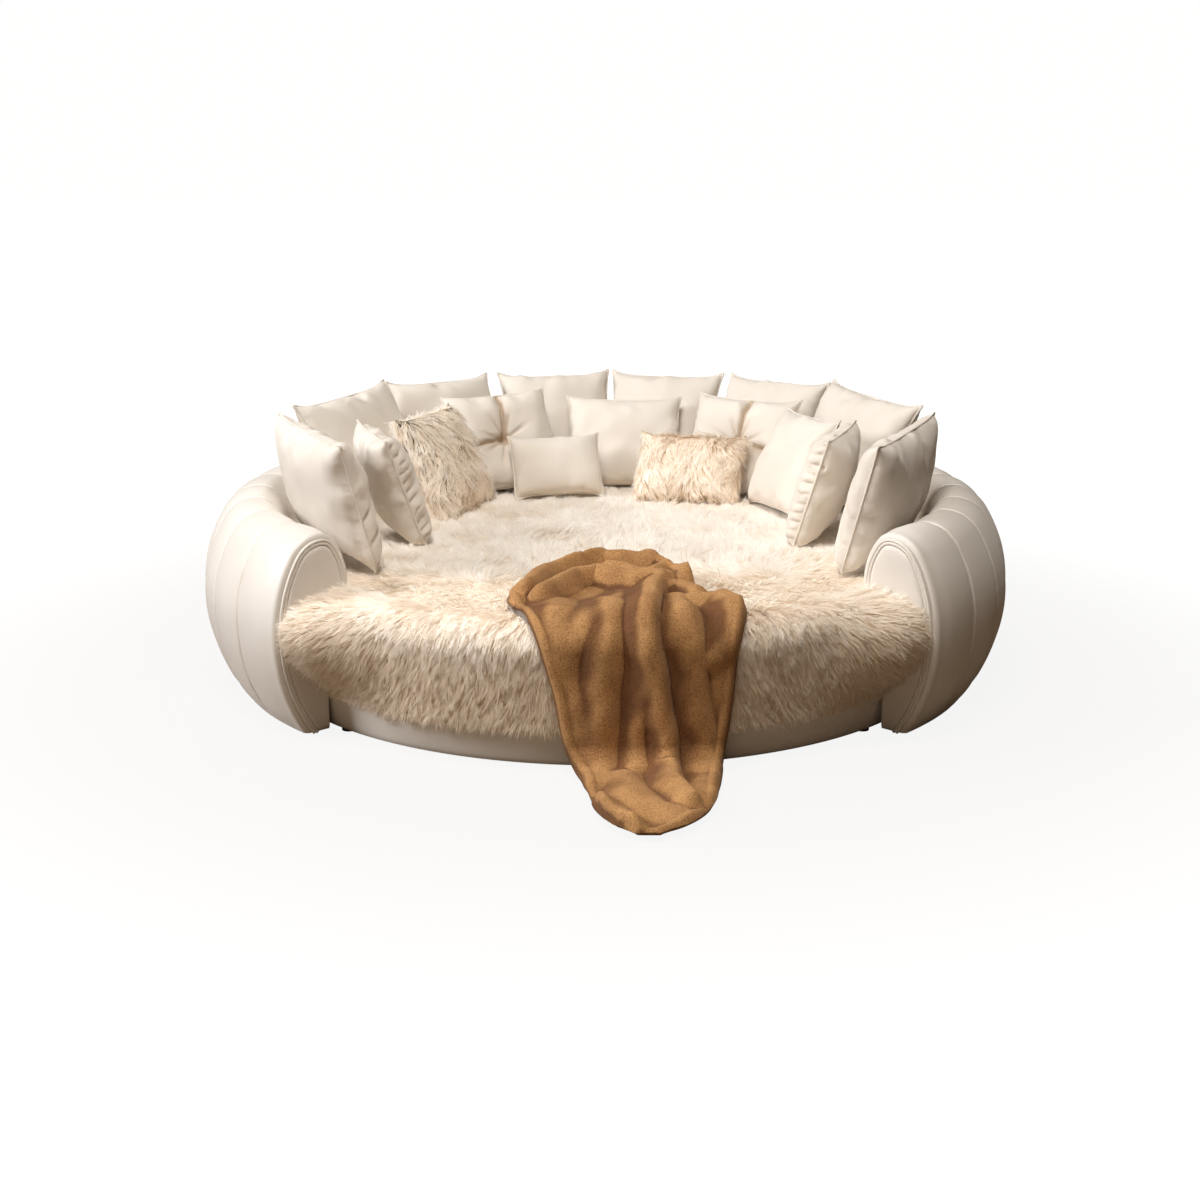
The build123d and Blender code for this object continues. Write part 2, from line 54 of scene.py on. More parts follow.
# %% Camera
camera_data = bpy.data.cameras.new("camera")
camera_data.lens = 54
camera_data.sensor_width = 36
camera_data.shift_x = -0.0046
camera = bpy.data.objects.new("camera", camera_data)
camera.location = (0, -6.064, 1.797)
camera.rotation_euler = (radians(90 - 14.71), 0, 0)
bpy.context.scene.collection.objects.link(camera)
bpy.context.scene.camera = camera
print("camera at", tuple(camera.location))

# %% [markdown]
# ## Building materials from nodes
# Every finish, and the world round the bed, is a small tree of shader nodes. These helpers add a node,
# join two sockets and start a material, so that each tree below reads as a recipe.

# %% Node helpers
def add(tree, kind, values=None, **settings):
    """A new node of a kind, with settings and with input values by name or number."""
    node = tree.nodes.new("ShaderNode" + kind)
    for key, value in settings.items():
        setattr(node, key, value)
    for key, value in (values or {}).items():
        if isinstance(value, bpy.types.NodeSocket):
            tree.links.new(value, node.inputs[key])
        else:
            node.inputs[key].default_value = value
    return node


def math_node(tree, operation, *values):
    """The result of a Math node over one, two or three values or sockets."""
    return add(tree, "Math", dict(enumerate(values)), operation=operation).outputs[0]


def blend_colour(tree, share, first, second, kind="MIX"):
    """A Mix node between two colours."""
    return add(tree, "Mix", {0: share, 6: first, 7: second}, data_type="RGBA", blend_type=kind).outputs[2]


def noise(tree, place, scale, detail, roughness):
    """The value of a Noise texture at a place."""
    values = {"Vector": place, "Scale": scale, "Detail": detail, "Roughness": roughness}
    return add(tree, "TexNoise", values).outputs[0]


def new_material(name, roughness, sheen=0.0, sheen_tint=(1, 1, 1, 1)):
    """A material with an empty Principled shader, and its tree and shader."""
    material = bpy.data.materials.new(name)
    material.use_nodes = True
    tree = material.node_tree
    shader = tree.nodes["Principled BSDF"]
    shader.inputs["Roughness"].default_value = roughness
    shader.inputs["Sheen Weight"].default_value = sheen
    shader.inputs["Sheen Roughness"].default_value = 0.5
    shader.inputs["Sheen Tint"].default_value = sheen_tint
    return material, tree, shader


print("node helpers ready")

# %% [markdown]
# ## Soft daylight from the left
# A large lamp high on the left gives the outside of the left arm its near white and leaves the right
# one in shade. A second soft lamp high in front lights the fur and the faces of the cushions, and the
# base stays darker under the overhang of the fur. A faint third one low in front and a weak warm world
# fill the shadows. All are weak enough that a colour renders about as it is written.

# %% Lamps
def area_lamp(name, place, aim, size, power, colour):
    """A square lamp at a place, turned so that it shines towards the aim."""
    lamp = bpy.data.lights.new(name, "AREA")
    lamp.size, lamp.energy, lamp.color = size, power, colour
    item = bpy.data.objects.new(name, lamp)
    item.location = place
    way = np.array(aim, float) - np.array(place, float)
    item.rotation_euler = (atan2(np.hypot(way[0], way[1]), -way[2]), 0, atan2(way[1], way[0]) - pi / 2)
    bpy.context.scene.collection.objects.link(item)


area_lamp("key", (-7.0, -1.6, 4.1), (0.0, 0.0, 0.3), 2.2, 470, (0.975, 1.0, 1.045))
area_lamp("high front", (-0.7, -2.9, 7.3), (0.0, 0.1, 0.3), 3.0, 485, (1.0, 0.975, 0.93))
area_lamp("low front", (-1.5, -6.5, 1.6), (0.0, -0.6, 0.3), 2.5, 18, (1.0, 0.82, 0.62))
print("three lamps")

# %% World: white for the camera, weak and warm for the bed
warm_white, camera_white = (1, 0.68, 0.45, 1), (1, 1, 0.995, 1)
world = bpy.data.worlds.new("studio")
world.use_nodes = True
bpy.context.scene.world = world
bpy.context.scene.view_settings.view_transform = "Standard"
tree = world.node_tree
sky = tree.nodes["Background"]
seen = add(tree, "LightPath").outputs["Is Camera Ray"]
strength = add(tree, "Mix", {0: seen, 2: 0.075, 3: 1.0}, data_type="FLOAT").outputs[0]
tree.links.new(strength, sky.inputs["Strength"])
tree.links.new(blend_colour(tree, seen, warm_white, camera_white), sky.inputs["Color"])
print("a warm world that the camera sees white")

# %% [markdown]
# ### Two shader groups
# Cloth and leather-like covers differ in their pattern but share a plan: a slow change of tone over
# the whole piece and a fine relief. The groups put out that mask and that height, and each material
# uses them with its own scale and strength.

# %% Group: soft tone and fine relief
def start_group(name, inputs, outputs):
    """A shader node group with named inputs and outputs."""
    tree = bpy.data.node_groups.new(name, "ShaderNodeTree")
    for label, kind, value in inputs:
        socket = tree.interface.new_socket(label, in_out="INPUT", socket_type=kind)
        socket.default_value = value
    for label, kind in outputs:
        tree.interface.new_socket(label, in_out="OUTPUT", socket_type=kind)
    return tree, tree.nodes.new("NodeGroupInput"), tree.nodes.new("NodeGroupOutput")


def make_woven_group():
    """Weave: two crossed sine waves over Object coordinates, roughened by noise, and a slow tone."""
    tree, given, result = start_group(
        "woven cloth",
        [("Threads", "NodeSocketFloat", 900.0), ("Fuzz", "NodeSocketFloat", 0.5)],
        [("Tone", "NodeSocketFloat"), ("Relief", "NodeSocketFloat")],
    )
    place = add(tree, "TexCoord").outputs["Object"]
    axes = add(tree, "SeparateXYZ", {0: place})
    flat = math_node(tree, "ADD", axes.outputs[0], axes.outputs[1])
    across = math_node(tree, "SINE", math_node(tree, "MULTIPLY", flat, given.outputs[0]))
    along = math_node(tree, "SINE", math_node(tree, "MULTIPLY", axes.outputs[2], given.outputs[0]))
    cross = math_node(tree, "MULTIPLY", across, along)
    rough = math_node(tree, "MULTIPLY", noise(tree, place, 420.0, 3.0, 0.6), given.outputs[1])
    relief = math_node(tree, "MULTIPLY_ADD", cross, 0.3, rough)
    tree.links.new(noise(tree, place, 5.0, 2.0, 0.5), result.inputs[0])
    tree.links.new(relief, result.inputs[1])
    return tree


def make_grain_group():
    """Fine leather-like grain: small cells over Object coordinates, and a slow tone."""
    tree, given, result = start_group(
        "fine grain",
        [("Grain", "NodeSocketFloat", 650.0)],
        [("Tone", "NodeSocketFloat"), ("Relief", "NodeSocketFloat")],
    )
    place = add(tree, "TexCoord").outputs["Object"]
    cells = add(tree, "TexVoronoi", {"Vector": place, "Scale": given.outputs[0]}, feature="SMOOTH_F1")
    pull = noise(tree, place, 26.0, 3.0, 0.55)
    relief = math_node(tree, "MULTIPLY_ADD", cells.outputs["Distance"], 0.35, pull)
    tree.links.new(noise(tree, place, 3.5, 2.0, 0.5), result.inputs[0])
    tree.links.new(relief, result.inputs[1])
    return tree


woven_group, grain_group = make_woven_group(), make_grain_group()
print("groups:", woven_group.name, "and", grain_group.name)

# %% [markdown]
# ### The finishes
# The cover is a smooth, faintly grained upholstery in a warm off-white. The cushions are a matt woven
# cloth of nearly the same colour, and the throw is a camel fleece with a short fuzz.

# %% Upholstery, cushion cloth and ticking
def group_node(tree, group, **values):
    """The group placed in a material, with values for its inputs."""
    node = tree.nodes.new("ShaderNodeGroup")
    node.node_tree = group
    for key, value in values.items():
        node.inputs[key].default_value = value
    return node


def toned(tree, shader, tone, dark, light):
    """Base colour between two tones, driven by a slow mask, whose values lie round a half."""
    share = add(tree, "MapRange", {"Value": tone, "From Min": 0.35, "From Max": 0.65}).outputs[0]
    colour = blend_colour(tree, share, (*dark, 1), (*light, 1))
    tree.links.new(colour, shader.inputs["Base Color"])
    return colour


def shaded_in_hollows(tree, shader, colour, dark):
    """The colour with painted shade: multiplied by dark where the piece's shade mark is 1, in creases and beside
    seams.
    """
    painted_shade = add(tree, "Attribute", attribute_name="painted_shade").outputs["Fac"]
    shaded = blend_colour(tree, 1.0, colour, (*dark, 1), "MULTIPLY")
    tree.links.new(blend_colour(tree, painted_shade, colour, shaded), shader.inputs["Base Color"])


def bumped(tree, shader, height, strength, distance):
    """A Bump node from a height to the shader's normal."""
    node = add(tree, "Bump", {"Height": height, "Strength": strength, "Distance": distance})
    tree.links.new(node.outputs[0], shader.inputs["Normal"])


stitch_gap, thread_half, stitch_length = 0.0085, 0.0013, 0.0085


def upholstery(name, dark, light):
    """Smooth cover: fine grain, and stitches beside each seam where the piece carries seam marks."""
    material, tree, shader = new_material(name, 0.46, 0.25, (1, 0.96, 0.9, 1))
    grain = group_node(tree, grain_group, Grain=600.0)
    toned(tree, shader, grain.outputs["Tone"], dark, light)
    seam = add(tree, "Attribute", attribute_name="seam").outputs["Fac"]
    along = add(tree, "Attribute", attribute_name="along").outputs["Fac"]
    beside = math_node(tree, "ABSOLUTE", math_node(tree, "SUBTRACT", seam, stitch_gap))
    row = math_node(tree, "LESS_THAN", beside, thread_half)
    step = math_node(tree, "SINE", math_node(tree, "MULTIPLY", along, 2 * pi / stitch_length))
    stitch = math_node(tree, "MULTIPLY", row, math_node(tree, "GREATER_THAN", step, -0.35))
    height = math_node(tree, "MULTIPLY_ADD", stitch, 2.2, grain.outputs["Relief"])
    bumped(tree, shader, height, 0.22, 0.0012)
    return material


def cushion_cloth(name, dark, light):
    """Matt woven cushion cloth with a faint sheen."""
    material, tree, shader = new_material(name, 0.82, 0.35, (1, 0.95, 0.88, 1))
    cloth = group_node(tree, woven_group, Threads=1500.0, Fuzz=0.55)
    # Painted shade: the cloth darkens towards (0.66, 0.53, 0.40) in creases and beside the seams.
    shaded_in_hollows(tree, shader, toned(tree, shader, cloth.outputs["Tone"], dark, light), (0.66, 0.53, 0.40))
    bumped(tree, shader, cloth.outputs["Relief"], 0.28, 0.0011)
    return material


cover_finish = upholstery("cover", (0.73, 0.675, 0.61), (0.78, 0.73, 0.67))
cushion_finish = cushion_cloth("cream_cushion", (0.71, 0.645, 0.57), (0.77, 0.71, 0.635))
ticking_finish = cushion_cloth("ticking", (0.76, 0.74, 0.70), (0.82, 0.80, 0.76))
print("cover, cushion cloth and ticking")

# %% Fur and fleece
def fur_finish(name, root, middle, tip):
    """Hair: each blade runs from its root colour to its tip colour, and blades differ in tone.

    A hair is seen from both sides. Its underside lets the light from above through, so it isn't dark.
    """
    material, tree, shader = new_material(name, 0.62, 0.3, (1, 0.94, 0.86, 1))
    height = add(tree, "Attribute", attribute_name="height").outputs["Fac"]
    tone = add(tree, "Attribute", attribute_name="tone").outputs["Fac"]
    ramp = add(tree, "ValToRGB", {"Fac": height})
    ramp.color_ramp.elements[0].color = (*root, 1)
    ramp.color_ramp.elements[1].color = (*tip, 1)
    ramp.color_ramp.elements.new(0.45).color = (*middle, 1)
    shade = add(tree, "MapRange", {"Value": tone, "To Min": 0.80, "To Max": 1.04}).outputs[0]
    warm = blend_colour(tree, tone, (0.93, 0.82, 0.69, 1), (1, 1, 1, 1))
    tinted = blend_colour(tree, 1.0, ramp.outputs[0], warm, "MULTIPLY")
    scaled = add(tree, "VectorMath", {0: tinted, "Scale": shade}, operation="SCALE").outputs[0]
    tree.links.new(scaled, shader.inputs["Base Color"])
    through = add(tree, "BsdfTranslucent", {"Color": scaled})
    behind = add(tree, "NewGeometry").outputs["Backfacing"]
    both = add(tree, "MixShader", {0: behind, 1: shader.outputs[0], 2: through.outputs[0]})
    tree.links.new(both.outputs[0], tree.nodes["Material Output"].inputs["Surface"])
    return material


def fleece_finish():
    """Camel fleece: short fuzz as a strong fine relief, with painted shade where the fuzz is low and in the fold
    valleys.
    """
    material, tree, shader = new_material("camel_fleece", 0.92, 0.12, (1, 0.72, 0.45, 1))
    place = add(tree, "TexCoord").outputs["Object"]
    tufts = noise(tree, place, 210.0, 4.0, 0.72)
    base = toned(tree, shader, noise(tree, place, 9.0, 2.0, 0.5), (0.40, 0.20, 0.070), (0.54, 0.29, 0.110))
    # Painted shade: where the fuzz is low the colour is multiplied by (0.52, 0.45, 0.38), and in the fold valleys
    # by (0.38, 0.29, 0.21).
    pits = add(tree, "MapRange", {"Value": tufts, "From Min": 0.36, "From Max": 0.56}).outputs[0]
    dark = blend_colour(tree, 1.0, base, (0.52, 0.45, 0.38, 1), "MULTIPLY")
    shaded_in_hollows(tree, shader, blend_colour(tree, pits, dark, base), (0.38, 0.29, 0.21))
    bumped(tree, shader, tufts, 0.75, 0.003)
    return material


ivory_fur = fur_finish("ivory_fur", (0.80, 0.70, 0.57), (0.93, 0.875, 0.80), (0.97, 0.935, 0.885))
beige_fur = fur_finish("beige_fur", (0.80, 0.67, 0.52), (0.935, 0.865, 0.77), (0.97, 0.93, 0.87))
camel_fleece = fleece_finish()
print("two furs and a fleece")

# %% Wood, steel and plastic of the hidden frame
def plywood_finish():
    """Birch plywood: long soft grain bands, pores and thin dark glue lines."""
    material, tree, shader = new_material("plywood", 0.62)
    place = add(tree, "TexCoord").outputs["Object"]
    stretch = add(tree, "Mapping", {"Vector": place, "Scale": (3.0, 22.0, 22.0)}).outputs[0]
    bands = noise(tree, stretch, 2.2, 5.0, 0.6)
    colour = toned(tree, shader, bands, (0.52, 0.35, 0.19), (0.70, 0.53, 0.33))
    up = add(tree, "SeparateXYZ", {0: place}).outputs[2]
    plies = math_node(tree, "SINE", math_node(tree, "MULTIPLY", up, 2 * pi / 0.003))
    glue = math_node(tree, "GREATER_THAN", plies, 0.93)
    lines = blend_colour(tree, math_node(tree, "MULTIPLY", glue, 0.35), colour, (0.2, 0.11, 0.05, 1))
    tree.links.new(lines, shader.inputs["Base Color"])
    bumped(tree, shader, bands, 0.12, 0.001)
    return material


def steel_finish():
    """Zinc-plated steel: a cloudy tone and roughness."""
    material, tree, shader = new_material("zinc_steel", 0.4)
    shader.inputs["Metallic"].default_value = 1.0
    place = add(tree, "TexCoord").outputs["Object"]
    clouds = noise(tree, place, 60.0, 4.0, 0.6)
    toned(tree, shader, clouds, (0.48, 0.49, 0.52), (0.68, 0.69, 0.70))
    rough = add(tree, "MapRange", {"Value": clouds, "To Min": 0.3, "To Max": 0.55})
    tree.links.new(rough.outputs[0], shader.inputs["Roughness"])
    return material


def plastic_finish():
    """Moulded glide: dark plastic with a fine spark texture."""
    material, tree, shader = new_material("glide_plastic", 0.55)
    place = add(tree, "TexCoord").outputs["Object"]
    spark = noise(tree, place, 900.0, 2.0, 0.5)
    toned(tree, shader, spark, (0.02, 0.018, 0.016), (0.035, 0.032, 0.03))
    bumped(tree, shader, spark, 0.2, 0.0004)
    return material


frame_finishes = {
    ("drum", "ledge", "board", "deck", "carcass"): ("plywood", plywood_finish()),
    ("bolt", "strap"): ("zinc_steel", steel_finish()),
    ("glide",): ("glide_plastic", plastic_finish()),
}
for starts, (slot, finish) in frame_finishes.items():
    dressed = [node for name, node in nodes.items() if name.startswith(starts)]
    for node in dressed:
        node.data.materials.clear()
        node.data.materials.append(finish)
    print(slot, "on", len(dressed), "CAD nodes")

# %% [markdown]
# ## The floor
# The floor is plain and pale. It keeps the shadow under the bed, and for the camera it brightens to
# white with the distance from the bed, so that floor and background meet without a line.

# %% Floor
def floor_finish():
    """Pale paint: a diffuse floor, with white glow for the camera that grows from 1.4 to 4 metres out."""
    material, tree, shader = new_material("floor_paint", 0.9)
    shader.inputs["Base Color"].default_value = (0.195, 0.148, 0.105, 1)
    shader.inputs["Specular IOR Level"].default_value = 0.1
    place = add(tree, "TexCoord").outputs["Object"]
    out = add(tree, "VectorMath", {0: place}, operation="LENGTH").outputs["Value"]
    range_out = {"Value": out, "From Min": 1.4, "From Max": 4.0}
    share = add(tree, "MapRange", range_out, interpolation_type="SMOOTHSTEP").outputs[0]
    glow = add(tree, "Emission", {"Color": camera_white, "Strength": 1.15}).outputs[0]
    ray = add(tree, "LightPath").outputs["Is Camera Ray"]
    lift = math_node(tree, "MULTIPLY", math_node(tree, "MULTIPLY_ADD", share, 0.20, 0.78), ray)
    mixed = add(tree, "MixShader", {0: lift, 1: shader.outputs[0], 2: glow})
    tree.links.new(mixed.outputs[0], tree.nodes["Material Output"].inputs["Surface"])
    return material


mesh = bpy.data.meshes.new("floor")
near_side, far_side = 14, 40
corners = ((-near_side, -near_side), (near_side, -near_side), (near_side, far_side), (-near_side, far_side))
mesh.from_pydata([(x, y, 0) for x, y in corners], [], [(0, 1, 2, 3)])
mesh.materials.append(floor_finish())
floor = bpy.data.objects.new("floor", mesh)
bpy.context.scene.collection.objects.link(floor)
print("floor", tuple(floor.dimensions))

# %% [markdown]
# ## From arrays to pieces
# A surface is worked out as a whole array of points on a grid. These helpers turn such an array into
# a mesh, close its ends, and say which CAD body the piece rides on and which CAD node it stands for.

# %% Mesh helpers
def grid_faces(rows, columns, close_rows=False, close_columns=False):
    """Quads between neighbouring points of a rows by columns grid, numbered row by row."""
    r = np.arange(rows if close_rows else rows - 1)[:, None]
    c = np.arange(columns if close_columns else columns - 1)[None, :]
    r, c = np.broadcast_arrays(r, c)
    below, right = (r + 1) % rows, (c + 1) % columns
    corners = (r * columns + c, r * columns + right, below * columns + right, below * columns + c)
    return np.stack(corners, axis=-1).reshape(-1, 4)


def tube_faces(count, sides, closed=False, start=0):
    """Faces of a shell whose rows are rings, with its two ends closed if it isn't a loop itself."""
    faces = (grid_faces(count, sides, closed, True) + start).tolist()
    if not closed:
        faces += [[start + k for k in range(sides)], [start + (count - 1) * sides + k for k in range(sides)]]
    return faces


def make_piece(name, points, faces, finish, body, stands_for=(), marks=None, outward=True, crease=50):
    """A piece from points and faces, with its finish, its body and the CAD nodes that it replaces."""
    mesh = bpy.data.meshes.new(name)
    mesh.from_pydata(np.asarray(points).reshape(-1, 3).tolist(), [], [list(map(int, f)) for f in faces])
    for label, values in (marks or {}).items():
        mesh.attributes.new(label, "FLOAT", "POINT").data.foreach_set("value", values.astype(np.float32).ravel())
    if outward:
        work = bmesh.new()
        work.from_mesh(mesh)
        bmesh.ops.recalc_face_normals(work, faces=work.faces)
        work.to_mesh(mesh)
        work.free()
    mesh.shade_smooth()
    if crease:
        mesh.set_sharp_from_angle(angle=radians(crease))
    return place_piece(mesh, finish, body, stands_for)


def place_piece(mesh, finish, body, stands_for=()):
    """An object for a finished mesh, riding on its body. Its slot is the finish's own name."""
    item = bpy.data.objects.new(mesh.name, mesh)
    bpy.context.scene.collection.objects.link(item)
    mesh.materials.append(finish)
    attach(item, body)
    if stands_for:
        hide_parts(*stands_for)
    return item


def soft_noise(points, size, seed, waves=14):
    """Smooth noise of about -1 to 1: sine waves about size long in random directions, added up."""
    chance = np.random.default_rng(seed)
    way = chance.normal(size=(waves, points.shape[-1]))
    way *= (2 * pi / (size * chance.uniform(0.6, 1.7, waves)) / np.linalg.norm(way, axis=1))[:, None]
    return np.sin(points @ way.T + chance.uniform(0, 2 * pi, waves)).sum(-1) / np.sqrt(waves)


def smooth_step(value, low, high):
    """0 below low, 1 above high and a smooth S between."""
    share = np.clip((value - low) / (high - low), 0, 1)
    return share * share * (3 - 2 * share)


print("mesh helpers ready")

# %% [markdown]
# ## The bolster
# The bolster is foam over a wooden carcass, covered in equal panels. Its section is an arch that hooks
# over the rim of the base. The panels swell a little between the seams, and each seam pulls a narrow
# valley. So the surface is the arch carried round the bed, moved out by a swell and in by a valley.

# %% Sizes of the bolster, in metres
cap_bearing = 46.9
panels_in_arm, panels_in_back = 7, 6
panel_turn = (180 - cap_bearing) / (panels_in_arm + panels_in_back)
arm_end_bearing = cap_bearing + panels_in_arm * panel_turn
bolster_radius, bolster_foot_radius, bulge_height = 1.350, 1.250, 0.325
crest_radius, crest_height = 1.175, 0.622
inner_radius, shoulder_height = 1.072, 0.460
roundness = 0.7
hook_radius, hook_height, glide_height = 1.1653, 0.2253, 0.006
end_rounding, welt_radius, welt_lap = 0.016, 0.005, 0.001
foot_arc = ((bolster_radius - bolster_foot_radius) ** 2 + (bulge_height - glide_height) ** 2) / (
    2 * (bolster_radius - bolster_foot_radius)
)
crown_points = 96
print("panels turn", round(panel_turn, 2), "degrees each")

# %% The arch of the bolster
def arc(middle, radius, start, end, count=60):
    """Points on an arc, angles in radians."""
    turn = np.linspace(start, end, count)
    return np.stack([middle[0] + radius * np.cos(turn), middle[1] + radius * np.sin(turn)], axis=-1)


def oval_quarter(middle, half_width, half_height, inset, side):
    """Two tangent arcs from the side of an oval to its top; side is 1 outside and -1 inside."""
    small = roundness * half_width
    large = (half_width**2 + half_height**2 - 2 * half_height * small) / (2 * (half_width - small))
    turn = atan2(half_height - small, large - half_width)
    flank = arc((middle[0] + side * (half_width - large), middle[1]), large - inset, 0, turn)
    crest = arc((middle[0], middle[1] + half_height - small), small - inset, turn, pi / 2)
    if side > 0:
        return np.vstack([flank, crest[1:]])
    flank[:, 0] = 2 * (middle[0] + side * (half_width - large)) - flank[:, 0]
    crest[:, 0] = 2 * middle[0] - crest[:, 0]
    return np.vstack([crest[::-1], flank[-2::-1]])


def even_line(points, count):
    """The same line with evenly spaced points."""
    reach = np.concatenate([[0], np.cumsum(np.linalg.norm(np.diff(points, axis=0), axis=1))])
    at = np.linspace(0, reach[-1], count)
    return np.stack([np.interp(at, reach, points[:, k]) for k in range(points.shape[1])], axis=-1)


def bolster_arch(inset=0.0, under=0.0, count=crown_points):
    """The padded outline, out and up: foot, crest and inner shoulder, moved in by inset."""
    dip = asin((bulge_height - glide_height - under) / (foot_arc - inset))
    foot = arc((bolster_radius - foot_arc, bulge_height), foot_arc - inset, -dip, 0)
    rise, fall = crest_height - bulge_height, crest_height - shoulder_height
    outer = oval_quarter((crest_radius, bulge_height), bolster_radius - crest_radius, rise, inset, 1)
    inner = oval_quarter((crest_radius, shoulder_height), crest_radius - inner_radius, fall, inset, -1)
    return even_line(np.vstack([foot, outer[1:], inner[1:]]), count)


def arch_normals(line):
    """Unit normals that point out of the padding."""
    way = np.gradient(line, axis=0)
    out = np.stack([way[:, 1], -way[:, 0]], axis=-1)
    return out / np.linalg.norm(out, axis=1, keepdims=True)


def hidden_edge(shoulder, under=0.0, steps=8):
    """The sides that touch the mattress and the base: down, out over the rim and down to the foot."""
    rim, low = hook_radius + under, glide_height + under
    corners = np.array([(shoulder, hook_height + under), (rim, hook_height + under), (rim, low)])
    down = np.linspace((shoulder, shoulder_height), corners[0], steps)[1:]
    return np.vstack([down, corners[1:]])


def around(bearing, section):
    """Points at bearings (degrees) times sections (out, up) in the row frame; (bearings, points, 3)."""
    turn = np.radians(bearing)[:, None]
    out, up = section[..., 0], section[..., 1]
    return np.stack([out * np.sin(turn), -out * np.cos(turn), up + 0 * turn], axis=-1)


outline = bolster_arch()
print("arch is", round(float(np.linalg.norm(np.diff(outline, axis=0), axis=1).sum()), 3), "m round")

# %% The four sections
swell, valley, valley_width = 0.0065, 0.0055, 0.0042
arch_length = 1.35
beside_seam = np.array([0.0, 0.0012, 0.0025, 0.004, 0.006, 0.009, 0.013, 0.019, 0.028, 0.042, 0.062, 0.088])


def seam_columns(start, end, seams):
    """Bearings between start and end that crowd round the seams."""
    beside = np.degrees(beside_seam / bolster_radius)
    near = np.concatenate([seams[:, None] + beside, seams[:, None] - beside]).ravel()
    return np.unique(np.round(near[(near >= start - 1e-6) & (near <= end + 1e-6)], 6))


def bolster_section(name, start, end, seams, side, rounded):
    """One section: the arch at each bearing, swollen between the seams and drawn in along them."""
    bearing = seam_columns(start, end, seams)
    inset, tuck = np.zeros(len(bearing)), np.ones(len(bearing))
    if rounded:
        roll = np.radians(np.linspace(90, 0, 9))
        rim = cap_bearing + np.degrees(end_rounding * (1 - np.sin(roll)) / crest_radius)
        bearing = bearing[bearing > rim[-1] + 0.05]
        inset = np.concatenate([end_rounding * (1 - np.cos(roll)), np.zeros(len(bearing))])
        tuck = np.concatenate([np.zeros(len(rim)), smooth_step(bearing, rim[-1], rim[-1] + 2.5)])
        bearing = np.concatenate([rim, bearing])
    arches = np.stack([bolster_arch(i) for i in inset])
    normal = arch_normals(outline)
    arc_share = np.linspace(0, 1, crown_points)
    window = smooth_step(arc_share, 0.0, 0.08) * smooth_step(arc_share, 1.0, 0.93)
    gap = np.radians(bearing[:, None] - seams[None, :])
    near = np.abs(gap).min(1)
    seam_gap = near[:, None] * outline[:, 0]
    across = np.clip(near / radians(panel_turn / 2), 0, 1)
    lift = swell * (1 - (1 - across[:, None]) ** 2.2) * tuck[:, None]
    lift = lift - valley * np.exp(-((seam_gap / valley_width) ** 2)) * tuck[:, None]
    base = around(bearing, arches)
    pull = soft_noise(base * (1, 1, 2.2), 0.05, 5) * np.exp(-seam_gap / 0.02) * 0.0009
    slow = soft_noise(base, 0.35, 6) * 0.0012
    lift = (lift + (pull + slow) * tuck[:, None]) * window
    moved = arches + lift[..., None] * normal
    hidden = np.stack([hidden_edge(a[-1, 0]) for a in arches])
    points = around(bearing, np.concatenate([moved, hidden], axis=1))
    points[..., 0] *= side
    rows = points.shape[1]
    faces = tube_faces(len(bearing), rows)
    far = np.full((len(bearing), rows), 1.0)
    far[:, :crown_points] = np.where(tuck[:, None] > 0.5, seam_gap, 1.0)
    arc_length = np.zeros((len(bearing), rows))
    arc_length[:, :crown_points] = arc_share * arch_length
    marks = {"seam": far, "along": arc_length}
    make_piece(name, points, faces, cover_finish, "root", [name], marks)
    print(name, len(faces), "faces")


arm_seams = arm_end_bearing - np.arange(0, panels_in_arm) * panel_turn
back_seams = 180 - np.arange(0, panels_in_back + 1) * panel_turn
for side, word in ((1, "right"), (-1, "left")):
    arm_marks = np.append(arm_seams, cap_bearing)
    bolster_section("bolster_arm_" + word, cap_bearing, arm_end_bearing, arm_marks, side, True)
    bolster_section("bolster_back_" + word, arm_end_bearing, 180.0, back_seams, side, False)

# %% [markdown]
# ### Caps and welts
# The end of each arm is closed by a padded panel inside a double welt. A welt is a cord in a strip of
# the cover, so it is a round tube along the arch, and the panel is the outline drawn in to its middle
# with a low crown.

# %% Welts and caps
def cap_place(section, proud, side):
    """Points of the cap's plane: out and up, and proud of the plane towards the open front."""
    turn = radians(cap_bearing)
    x = section[..., 0] * sin(turn) - proud * cos(turn)
    y = -section[..., 0] * cos(turn) - proud * sin(turn)
    return np.stack([side * x, y, section[..., 1]], axis=-1)


def tube(line, radius, sides=12, closed=False):
    """A round tube along a line: a circle across the line's direction at each of its points."""
    way = np.gradient(line, axis=0)
    if closed:
        way = np.roll(line, -1, axis=0) - np.roll(line, 1, axis=0)
    way /= np.linalg.norm(way, axis=1, keepdims=True)
    spread = line - line.mean(0)
    flat = np.linalg.svd(spread, full_matrices=False)[2][2]
    across = np.cross(way, flat)
    across /= np.linalg.norm(across, axis=1, keepdims=True)
    upward = np.cross(across, way)
    turn = np.linspace(0, 2 * pi, sides, endpoint=False)
    radius = np.broadcast_to(radius, len(line))[:, None, None]
    turn = turn[:, None]
    return line[:, None] + radius * (np.cos(turn) * across[:, None] + np.sin(turn) * upward[:, None])


def cap_outline(inset, under, count):
    """The whole outline of the cap as one closed line."""
    arch = bolster_arch(inset, under, 200)
    ring = np.vstack([arch, hidden_edge(arch[-1, 0], under), arch[:1]])
    return even_line(ring, count + 1)[:-1]


